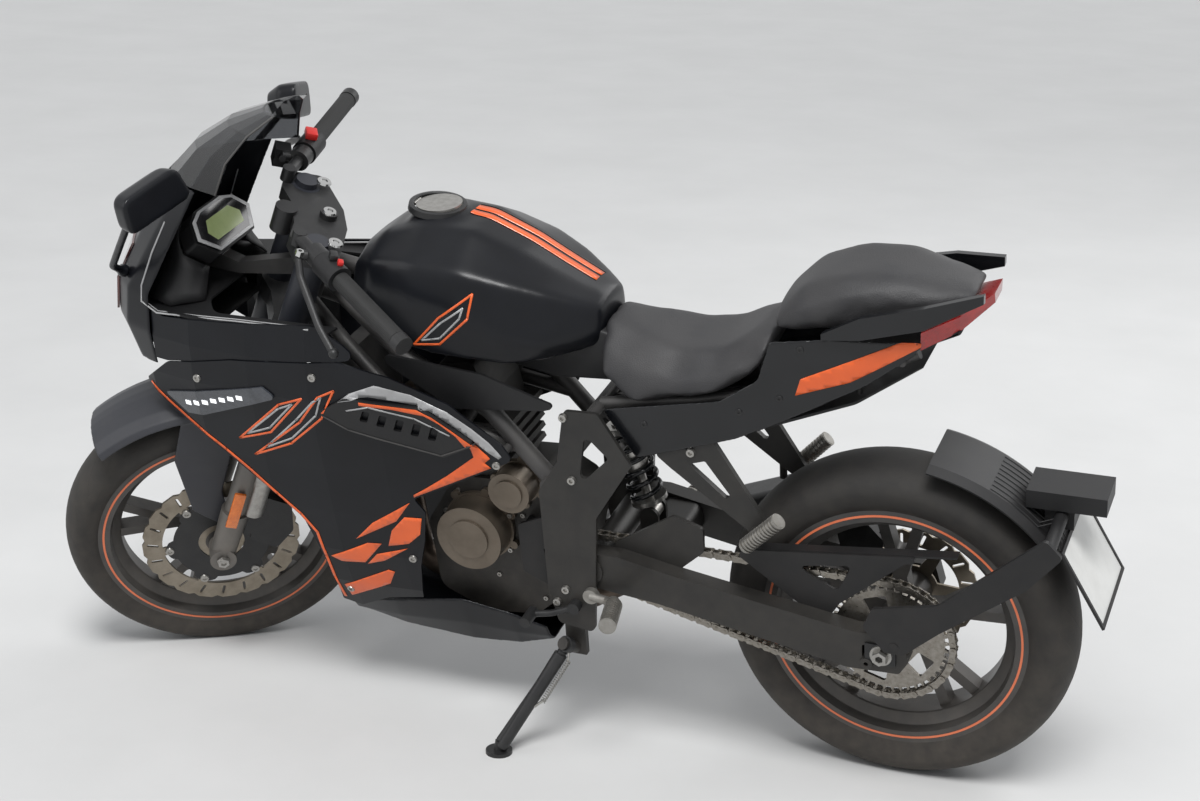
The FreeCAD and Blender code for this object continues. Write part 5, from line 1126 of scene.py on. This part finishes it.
@dataclass
class Cockpit:
    """The dial's face and bezel, its surround, the switches on the bars, the fork's bright tubes
    and the nuts of the top clamp.
    """

    dial: tuple[float, float, float] = (1262.0, 0.0, 915.0)
    tilt: float = -50.0
    outline: tuple = ((-40, 58), (-3, 91), (29, 70), (40, 39))
    glass: float = 0.88
    lit: tuple = ((-22, 46), (-2, 56), (18, 38))
    floor_line: tuple = ((1246, 112, 811), (1296, 150, 811), (1368, 116, 811), (1414, 52, 811))
    case_line: tuple = ((1258, 66, 856), (1286, 99, 890), (1306, 76, 915), (1318, 42, 929))
    leg_radius: float = 21.9
    leg_length: float = 142.0
    leg_middle: float = 488.0

    def build(self) -> None:
        """Builds the dial, its surround, the controls and the clamp's nuts."""
        self.face()
        self.surround()
        self.controls()
        self.legs()
        self.clamp_nuts()

    def face(self) -> None:
        """The dark glass, its bright bezel and the lit middle, on the instrument's face."""
        place = (Matrix.Translation(self.dial)
                 @ Matrix.Rotation(math.radians(self.tilt), 4, "Y"))
        glass = tuple((x * self.glass, y * self.glass) for x, y in self.outline)
        for name, finish, half, low, high in (
                ("dial_bezel", Coat.SILVER, self.outline, 3.9, 5.0),
                ("dial_glass", Coat.GLASS, glass, 4.6, 5.6),
                ("dial_face", Coat.LCD, self.lit, 5.4, 6.0)):
            mesh = bmesh.new()
            corners = [mesh.verts.new((x, y, low)) for x, y in half]
            corners += [mesh.verts.new((x, -y, low)) for x, y in reversed(half)]
            Bench.thicken(mesh, [mesh.faces.new(corners)], (0, 0, high - low))
            bmesh.ops.transform(mesh, verts=mesh.verts, matrix=place)
            Bench.piece(name, mesh, finish, "switch_plastic", 30)

    def surround(self) -> None:
        """The moulded wings that join the dial's case to the cockpit's floor."""
        mesh = bmesh.new()
        for side in (1, -1):
            low = [mesh.verts.new((x, side * y, z)) for x, y, z in self.floor_line]
            high = [mesh.verts.new((x, side * y, z)) for x, y, z in self.case_line]
            edges = [mesh.edges.new(pair) for line in (low, high) for pair in zip(line, line[1:])]
            bmesh.ops.bridge_loops(mesh, edges=edges)
        bmesh.ops.subdivide_edges(mesh, edges=mesh.edges[:], cuts=3, use_grid_fill=True,
                                  smooth=0.6)
        wing = Bench.piece("cockpit_wings", mesh, Coat.TRIM, "trim_plastic", 50)
        Bench.wall(wing, 0.003)

    def controls(self) -> None:
        """The stop switch, the perch bolt and the switch keys on the bars."""
        for name, finish, centre, reach in (
                ("stop_switch", Coat.RED, (23, -194, 1080), (11, 13, 7)),
                ("switch_key", Coat.CLAMP, (23, 190, 1080), (7, 9, 6)),
                ("horn_key", Coat.RED, (12, 205, 1078), (5, 6, 5))):
            mesh = bmesh.new()
            Bench.box(mesh, centre, reach, 2.5)
            Bench.piece(name, mesh, finish, "switch_plastic", place=Place.FORK, body="steering")
        mesh = bmesh.new()
        Fasteners(sides=6).screw(mesh, Matrix.Translation((72, 159, 1050)), 8, 9)
        Bench.piece("perch_bolt", mesh, Coat.CHROME, "fork_metal", place=Place.FORK,
                    body="steering")

    def legs(self) -> None:
        """The bright lower tubes of the fork."""
        mesh = bmesh.new()
        for side in (1, -1):
            made = bmesh.ops.create_cone(mesh, cap_ends=False, segments=40,
                                         radius1=self.leg_radius, radius2=self.leg_radius,
                                         depth=self.leg_length)["verts"]
            bmesh.ops.translate(mesh, verts=made, vec=(0, side * FORK_SIDE, self.leg_middle))
        Bench.piece("fork_bright_tubes", mesh, Coat.STEEL, "fork_metal", place=Place.FORK,
                    body="steering")

    def clamp_nuts(self) -> None:
        """The bright stem nut and fork caps, with their sockets."""
        screws = Fasteners(sides=24)
        mesh = bmesh.new()
        screws.screw(mesh, Matrix.Translation((0, 0, CLAMP_TOP)), 13, 3.5)
        for side in (1, -1):
            screws.screw(mesh, Matrix.Translation((0, side * FORK_SIDE, CLAMP_TOP)), 14, 3)
        Bench.piece("clamp_nuts", mesh, Coat.CHROME, "fork_metal", place=Place.FORK,
                    body="steering")


@dataclass
class Hardware:
    """Ribbed pegs, axle nuts, disc buttons, the stand's leg and spring, and the inner mouldings."""

    passenger: tuple = ((236, 141, 482), (172, 150, 548))
    rider: tuple = ((464, 180, 351), (446, 258, 358))
    passenger_radius: float = 12.2
    rider_radius: float = 13.4
    rib_pitch: float = 7.0
    disc_rings: tuple = ((92, 14), (44, 0))
    button_ring: float = 100.0
    stand_root: tuple = (569, 158, 234)
    stand_foot: tuple = (671, 272)
    spring_length: float = 88.0
    spring_radius: float = 4.4
    spring_wire: float = 1.1
    spring_turn: float = 0.785
    spring_steps: int = 160
    hugger_half: int = 56
    hugger_pitch: int = 14
    hugger_start: float = 118.0
    hugger_step: float = 2.4
    hugger_outside: float = 470.0
    hugger_rib: float = 1.5
    airbox: tuple = ((474, 724), (474, 806), (530, 820), (560, 796), (820, 788), (862, 770),
                     (846, 744), (704, 738), (600, 716))
    tray: tuple = ((330, 716), (330, 734), (120, 774), (20, 826), (-60, 872), (-108, 890),
                   (-108, 882), (-50, 853), (20, 810), (110, 762))
    liner: tuple = ((1128, 150, 640), (1200, 146, 628), (1300, 136, 690), (1322, 128, 790),
                    (1230, 140, 796), (1128, 152, 800))
    nose_floor: tuple = ((1270, 128), (1330, 150), (1370, 139), (1404, 102), (1424, 54),
                         (1430, 18))
    floor_height: float = 733.0
    screen_edge: tuple = ((1170, 149, 1033), (1151, 133, 1086), (1121, 101, 1126),
                          (1089, 61, 1150))

    def build(self) -> None:
        """Builds them all."""
        self.pegs()
        self.axle_nuts()
        self.discs()
        self.stand()
        self.hugger_ribs()
        self.mouldings()
        self.nose_fittings()
        self.liners()

    def pegs(self) -> None:
        """Light ribbed sleeves over the four pegs."""
        mesh = bmesh.new()
        for (start, end), radius in ((self.passenger, self.passenger_radius),
                                     (self.rider, self.rider_radius)):
            for side in (1, -1):
                first, last = (Vector((x, y * side, z)) for x, y, z in (start, end))
                along = (last - first).normalized()
                turn = along.to_track_quat("Z", "Y").to_matrix().to_4x4()
                length = (last - first).length
                ribs = int(length / self.rib_pitch)
                for rib in range(ribs):
                    for share, grown, deep in ((0.3, 0.0, 7.4), (0.5, 2.2, 3.2)):
                        centre = first + along * (rib + share + 0.2) * length / ribs
                        bmesh.ops.create_cone(mesh, cap_ends=True, segments=20,
                                              radius1=radius + grown, radius2=radius + grown,
                                              depth=deep, matrix=Matrix.Translation(centre) @ turn)
        Bench.piece("peg_sleeves", mesh, Coat.PEG, "peg_metal")

    def axle_nuts(self) -> None:
        """The rear axle's adjusters and nuts, and the front axle's heads."""
        mesh = bmesh.new()
        screws = Fasteners(sides=6)
        for side in (1, -1):
            turn = Matrix.Rotation(-side * math.pi / 2, 4, "X")
            spot = Matrix.Translation((0, side * (ARM_FACE + 5), REAR_RADIUS))
            screws.screw(mesh, spot @ turn, 15, 13)
            bmesh.ops.create_cone(mesh, cap_ends=True, segments=32, radius1=20, radius2=19,
                                  depth=3.5, matrix=spot @ turn)
        Bench.piece("rear_axle_nuts", mesh, Coat.STEEL, "peg_metal")
        mesh = bmesh.new()
        for side in (1, -1):
            Bench.box(mesh, (2, side * (ARM_FACE + 1), REAR_RADIUS), (27, 3, 20))
        Bench.piece("chain_adjusters", mesh, Coat.CLAMP, "swingarm_paint")
        mesh = bmesh.new()
        for side in (1, -1):
            turn = Matrix.Rotation(-side * math.pi / 2, 4, "X")
            screws.screw(mesh, Matrix.Translation((0, side * 124, 0)) @ turn, 13, 5)
        Bench.piece("front_axle_heads", mesh, Coat.STEEL, "fork_metal", place=Place.FRONT_WHEEL,
                    body="steering")

    def discs(self) -> None:
        """The front disc's dark centre and its bright buttons."""
        mesh, buttons = bmesh.new(), bmesh.new()
        face = FRONT_DISC_FACE
        arms, steps = 6, 120
        rings = []
        for low, wave in self.disc_rings:
            ring = []
            for step in range(steps):
                turn = math.tau * step / steps
                reach = low + wave * max(0.0, math.cos(arms * turn)) ** 0.5
                ring.append(mesh.verts.new((reach * math.cos(turn), face,
                                            reach * math.sin(turn))))
            rings.append(ring)
        for step in range(steps):
            after = (step + 1) % steps
            mesh.faces.new((rings[0][step], rings[0][after], rings[1][after], rings[1][step]))
        Bench.thicken(mesh, mesh.faces[:], (0, 1.6, 0))
        for arm in range(arms):
            turn = math.tau * arm / arms
            spot = Matrix.Translation((self.button_ring * math.cos(turn), face + 1.2,
                                       self.button_ring * math.sin(turn)))
            Fasteners(sides=20).screw(buttons, spot @ Matrix.Rotation(-math.pi / 2, 4, "X"), 9, 3)
        Bench.piece("disc_centre", mesh, Coat.CLAMP, "disc_steel", place=Place.FRONT_WHEEL,
                    body="front_wheel")
        Bench.piece("disc_buttons", buttons, Coat.STEEL, "disc_steel", place=Place.FRONT_WHEEL,
                    body="front_wheel")

    def stand(self) -> None:
        """The stand's thick leg and the spring beside it."""
        home = Place.BIKE.matrix()
        row = home[2]
        forward, side = self.stand_foot
        foot = Vector((forward, side, -(row[0] * forward + row[1] * side + row[3]) / row[2]))
        root = Vector(self.stand_root)
        along = (foot - root).normalized()
        mesh = bmesh.new()
        length = (foot - root).length - 16
        turn = along.to_track_quat("Z", "Y").to_matrix().to_4x4()
        bmesh.ops.create_cone(mesh, cap_ends=True, segments=32, radius1=12.5, radius2=10.5,
                              depth=length - 20, matrix=Matrix.Translation(
                                  root + along * (length + 20) / 2) @ turn)
        Bench.piece("stand_leg", mesh, Coat.CLAMP, "stand_paint", body="stand")
        mesh = bmesh.new()
        beside = (Vector((-1, 0, 0)) - along * -along.x).normalized()
        out = along.cross(beside)
        start = root + along * 22 + beside * 19
        path = []
        for step in range(self.spring_steps + 1):
            turn = step * self.spring_turn
            path.append(tuple(start + along * self.spring_length * step / self.spring_steps
                              + (beside * math.cos(turn) + out * math.sin(turn))
                              * self.spring_radius))
        Bench.tube(mesh, path, self.spring_wire, 6)
        Bench.tube(mesh, [tuple(start + along * 84), tuple(start + along * 104 - beside * 8)], 2.4)
        Bench.tube(mesh, [tuple(start + along * 3), tuple(start - along * 12 - beside * 8)], 2.4)
        Bench.piece("stand_spring", mesh, Coat.STEEL, "stand_paint", body="stand")

    def hugger_ribs(self) -> None:
        """Raised ribs along the top of the plate hanger's guard."""
        mesh = bmesh.new()
        for across in range(-self.hugger_half, self.hugger_half + 1, self.hugger_pitch):
            path = []
            for step in range(14):
                turn = math.radians(self.hugger_start + self.hugger_step * step)
                ahead = Vector((math.cos(turn), 0, math.sin(turn)))
                start = Vector((0, across, REAR_RADIUS)) + ahead * self.hugger_outside
                met = Bench.touch("plate_hanger", start, -ahead)
                if met is not None and met[1].dot(ahead) > 0.8:
                    path.append(tuple(met[0]))
            if len(path) > 3:
                Bench.tube(mesh, path, self.hugger_rib)
        Bench.piece("hugger_ribs", mesh, Coat.TRIM, "trim_plastic", 60)

    def mouldings(self) -> None:
        """The airbox under the tank and the tray under the seats."""
        for name, outline, half in (("airbox", self.airbox, 60), ("seat_tray", self.tray, 66)):
            mesh = bmesh.new()
            base = mesh.faces.new([mesh.verts.new((x, -half, z)) for x, z in outline])
            Bench.thicken(mesh, [base], (0, 2 * half, 0))
            bmesh.ops.bevel(mesh, geom=mesh.edges[:], offset=5, segments=3, profile=0.5,
                            affect="EDGES", material=-1)
            Bench.piece(name, mesh, Coat.TRIM, "trim_plastic")

    def nose_fittings(self) -> None:
        """The rims along the screen's edges and the covers over the nose's sockets."""
        rims, covers = bmesh.new(), bmesh.new()
        for side in (1, -1):
            Bench.tube(rims, [(x, side * y, z) for x, y, z in self.screen_edge], 1.9)
            Bench.box(covers, (1345, side * 27, 813), (19, 13, 5), 3, 3)
            Fasteners(sides=24).screw(covers, Matrix.Translation((1351, side * 108, 811)), 11, 4)
        Bench.piece("screen_rims", rims, Coat.FRAME_AND_HIGHLIGHT, "screen_smoke", 60)
        Bench.piece("socket_covers", covers, Coat.TRIM, "trim_plastic")

    def liners(self) -> None:
        """The dark sheets inside the fairing's sides and under the nose."""
        mesh = bmesh.new()
        for side in (1, -1):
            mesh.faces.new([mesh.verts.new((x, side * y, z)) for x, y, z in self.liner])
        mesh.faces.new([mesh.verts.new((x, y, self.floor_height)) for x, y in self.nose_floor
                        + tuple((x, -y) for x, y in reversed(self.nose_floor))])
        bmesh.ops.triangulate(mesh, faces=mesh.faces[:])
        bmesh.ops.subdivide_edges(mesh, edges=mesh.edges[:], cuts=3, use_grid_fill=True,
                                  smooth=0.4)
        sheet = Bench.piece("fairing_liners", mesh, Coat.TRIM, "trim_plastic", 60)
        Bench.wall(sheet, 0.002)


@dataclass
class TrimAndLamps:
    """Small fitted pieces: lamp rows, plate frame, reflectors, cap ring, and a painted highlight
    round the cockpit.
    """

    # The path of the painted highlight along the cockpit's edge.
    edge: tuple = ((1292, 131, 966), (1322, 141, 909), (1347, 153, 848), (1347, 161, 820),
                   (1312, 171, 806), (1230, 175, 808), (1149, 179, 812), (991, 197, 822))
    lamp_row: tuple = ((1262, 643), (1242, 647), (1222, 652), (1202, 659), (1182, 665),
                       (1162, 671), (1142, 677))
    plate: tuple = (-322, -5, 463)
    plate_tilt: float = 29.0
    plate_edges: tuple = ((76.5, 99.0), (70.0, 92.5))
    ring_section: tuple = ((41.5, -6), (41.5, 3.5), (44, 5), (50, 4), (52, -6))
    ring_tilt: float = -6.0

    def build(self) -> None:
        """Builds them all."""
        self.edge_line()
        self.lamp_blocks()
        self.plate_frame()
        self.cap_ring()
        self.reflectors()

    def edge_line(self) -> None:
        """A double painted highlight line along the cockpit's bevelled edge."""
        mesh = bmesh.new()
        for side in (1, -1):
            for lift, radius in ((0.0, 1.8), (5.0, 1.2)):
                path = [(x, side * (y - lift), z + lift * 0.3) for x, y, z in self.edge]
                Bench.tube(mesh, path, radius)
        Bench.piece("cockpit_edge_lines", mesh, Coat.SILVER, "trim_plastic", 60)

    def lamp_blocks(self) -> None:
        """A row of small lit blocks behind each running lamp's cover."""
        mesh = bmesh.new()
        for side in (1, -1):
            along = Vector((0, -side, 0))
            for forward, up in self.lamp_row:
                met = Bench.touch("running_lamps", Vector((forward, side * OUTSIDE, up)), along)
                if met is None:
                    continue
                spot, normal = met
                turn = normal.to_track_quat("Z", "X").to_matrix().to_4x4()
                made = bmesh.ops.create_grid(mesh, x_segments=2, y_segments=2, size=5.2,
                                             matrix=Matrix.Translation(spot + normal * 0.6)
                                             @ turn @ Matrix.Diagonal((0.8, 1.2, 1, 1)))
                faces = {face for vert in made["verts"] for face in vert.link_faces}
                Bench.thicken(mesh, list(faces), normal * 1.2)
        Bench.piece("lamp_blocks", mesh, Coat.LED, "lamp_clear")

    def plate_frame(self) -> None:
        """A dark edge round the blank number plate."""
        place = (Matrix.Translation(self.plate)
                 @ Matrix.Rotation(math.radians(self.plate_tilt), 4, "Y")
                 @ Matrix.Translation((4.2, 0, 0)) @ Matrix.Rotation(math.radians(90), 4, "Y"))
        mesh = bmesh.new()
        for across, along in self.plate_edges:
            bmesh.ops.create_grid(mesh, x_segments=1, y_segments=1, size=1,
                                  matrix=Matrix.Diagonal((across, along, 1, 1)))
        edges = mesh.edges[:]
        bmesh.ops.delete(mesh, geom=mesh.faces[:], context="FACES_ONLY")
        bmesh.ops.bridge_loops(mesh, edges=edges)
        Bench.thicken(mesh, mesh.faces[:], (0, 0, -4.5))
        bmesh.ops.transform(mesh, verts=mesh.verts, matrix=place)
        Bench.piece("plate_frame", mesh, Coat.TRIM, "trim_plastic")

    def cap_ring(self) -> None:
        """The ring that the filler cap closes on."""
        low, high = (Vector(corner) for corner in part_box("filler_cap"))
        middle = Place.BIKE.matrix().inverted() @ ((low + high) / 2)
        mesh = bmesh.new()
        Bench.spin(mesh, [(reach, 0, up) for reach, up in self.ring_section], (0, 0, 1), 64,
                   closed=False)
        tilt = Matrix.Translation((middle.x, middle.y, middle.z - 2)) @ Matrix.Rotation(
            math.radians(self.ring_tilt), 4, "Y")
        bmesh.ops.transform(mesh, verts=mesh.verts, matrix=tilt)
        Bench.piece("cap_ring", mesh, Coat.CLAMP, "cap_metal")

    def reflectors(self) -> None:
        """Amber on the fork leg, red beside the plate."""
        for name, place, body, centre, reach, finish, slot in (
                ("fork_reflectors", Place.FORK, "steering", (37, 124, 436), (11, 3.4, 42),
                 Coat.AMBER, "lamp_clear"),
                ("rear_reflectors", Place.BIKE, "chassis", (-262, 66, 512), (3, 15, 14),
                 Coat.RED_LENS, "lamp_red")):
            mesh = bmesh.new()
            for side in (1, -1):
                Bench.box(mesh, (centre[0], side * centre[1], centre[2]), reach)
            Bench.piece(name, mesh, finish, slot, place=place, body=body)


@dataclass
class Studio:
    """The pale room, its lamps and the camera at the photograph's angle."""

    floor_radius: float = 24.0
    sky_tone: tuple = (0.8, 0.83, 0.87, 1)
    sky_strength: float = 0.42
    seen_tone: tuple = (0.74, 0.745, 0.75, 1)
    lamp_rows: tuple = (("sky", "SUN", (-1.2, 2.4, 5.0), math.radians(24), 2.1),
                        ("key", "AREA", (-0.6, 2.6, 4.2), 1.6, 62.0),
                        ("fill", "AREA", (3.2, 2.4, 2.4), 2.6, 26.0),
                        ("back", "AREA", (-2.0, -3.2, 3.2), 2.6, 52.0))
    lamp_aim: tuple = (0, 0, 0.5)
    eye: tuple = (-1.391574, 3.305938, 1.797665)
    eye_turn: tuple = (72.067935, -0.683393, -158.453724)
    sensor: float = 36.0
    lens: float = 64.769

    def build(self) -> None:
        """Sets the room up."""
        self.room()
        self.lamps()
        self.camera()

    def room(self) -> None:
        """A pale floor that the bike stands on and a pale world behind it."""
        mesh = bmesh.new()
        bmesh.ops.create_circle(mesh, cap_ends=True, segments=96, radius=self.floor_radius)
        data = bpy.data.meshes.new("floor")
        mesh.to_mesh(data)
        mesh.free()
        floor = bpy.data.objects.new("floor", data)
        bpy.context.scene.collection.objects.link(floor)
        data.materials.append(Finish("floor_grey", (0.60, 0.60, 0.595), (0.64, 0.64, 0.635),
                                     rough=0.8, patch=0.5, relief=0.05).material())
        world = bpy.data.worlds.new("pale_room")
        world.use_nodes = True
        tree = world.node_tree
        shade = tree.nodes["Background"]
        shade.inputs["Color"].default_value = self.sky_tone
        shade.inputs["Strength"].default_value = self.sky_strength
        plain = wire(tree, "Background", {"Color": self.seen_tone})
        path = wire(tree, "LightPath", {}).outputs
        seen = path["Is Camera Ray"]
        for ray in ("Is Glossy Ray", "Is Transmission Ray"):
            seen = sum_of(tree, "MAXIMUM", seen, path[ray])
        mix = wire(tree, "MixShader", {"Fac": seen, 1: shade.outputs[0], 2: plain.outputs[0]})
        tree.links.new(mix.outputs[0], tree.nodes["World Output"].inputs["Surface"])
        bpy.context.scene.world = world
        bpy.context.scene.view_settings.view_transform = "Standard"

    def lamps(self) -> None:
        """One even soft light from above and three soft lamps for the gloss."""
        for name, kind, place, size, power in self.lamp_rows:
            light = bpy.data.lights.new(name, kind)
            light.energy = power
            if kind == "SUN":
                light.angle = size
            else:
                light.size = size
            lamp = bpy.data.objects.new(name, light)
            lamp.location = place
            aim = Vector(self.lamp_aim) - Vector(place)
            lamp.rotation_euler = aim.to_track_quat("-Z", "Y").to_euler()
            bpy.context.scene.collection.objects.link(lamp)

    def camera(self) -> None:
        """The camera where the photograph was taken from."""
        lens = bpy.data.cameras.new("camera")
        lens.sensor_width, lens.lens, lens.clip_end = self.sensor, self.lens, 60.0
        camera = bpy.data.objects.new("camera", lens)
        camera.location = self.eye
        camera.rotation_euler = Euler([math.radians(turn) for turn in self.eye_turn])
        bpy.context.scene.collection.objects.link(camera)
        bpy.context.scene.camera = camera


def dress_nodes() -> None:
    """Gives every CAD node that stays in view its finish."""
    for name, finish in NODE_COATS.items():
        node = frame["nodes"][name]
        node.data.materials.clear()
        node.data.materials.append(finish.material())


def main() -> None:
    """Builds the sub-assemblies in order."""
    logging.basicConfig(level=logging.INFO, format="%(message)s")
    Studio().build()
    dress_nodes()
    Tyre("front_tyre_treaded", "front_tyre", Place.FRONT_WHEEL, "front_wheel", (0, 0, 0),
         FRONT_RADIUS, 56, 46).build()
    Tyre("rear_tyre_treaded", "rear_tyre", Place.BIKE, "rear_wheel", (0, 0, REAR_RADIUS),
         REAR_RADIUS, 71, 59).build()
    RimLine("front_rim_line", Place.FRONT_WHEEL, "front_wheel", (0, 0, 0), 46).build()
    RimLine("rear_rim_line", Place.BIKE, "rear_wheel", (0, 0, REAR_RADIUS), 59).build()
    RollerChain().build()
    Cushion("rider_seat_pad", "rider_seat").build()
    Cushion("passenger_seat_pad", "passenger_seat").build()
    for name, node, finish, voxel, rounds in (
            ("tank_shell", "fuel_tank", Coat.BODY, 0.006, 14),
            ("nose_shell", "nose_cowl", Coat.BODY, 0.003, 12),
            ("tail_shells", "tail_panels", Coat.GLOSS, 0.003, 6),
            ("belly_shell", "belly_pan", Coat.BODY, 0.003, 5)):
        MouldedSkin(name, node, finish, "body_black", voxel, rounds).build()
    MouldedSkin("mirror_shells", "mirrors", Coat.BODY, "mirror_shell", 0.0025, 26).build()
    MouldedSkin("guard_shell", "mudguard", Coat.GUARD, "trim_plastic", 0.0022, 4,
                "steering").build()
    Livery().build()
    Fasteners().build()
    Cockpit().build()
    Hardware().build()
    TrimAndLamps().build()


if __name__ == "__main__":
    main()
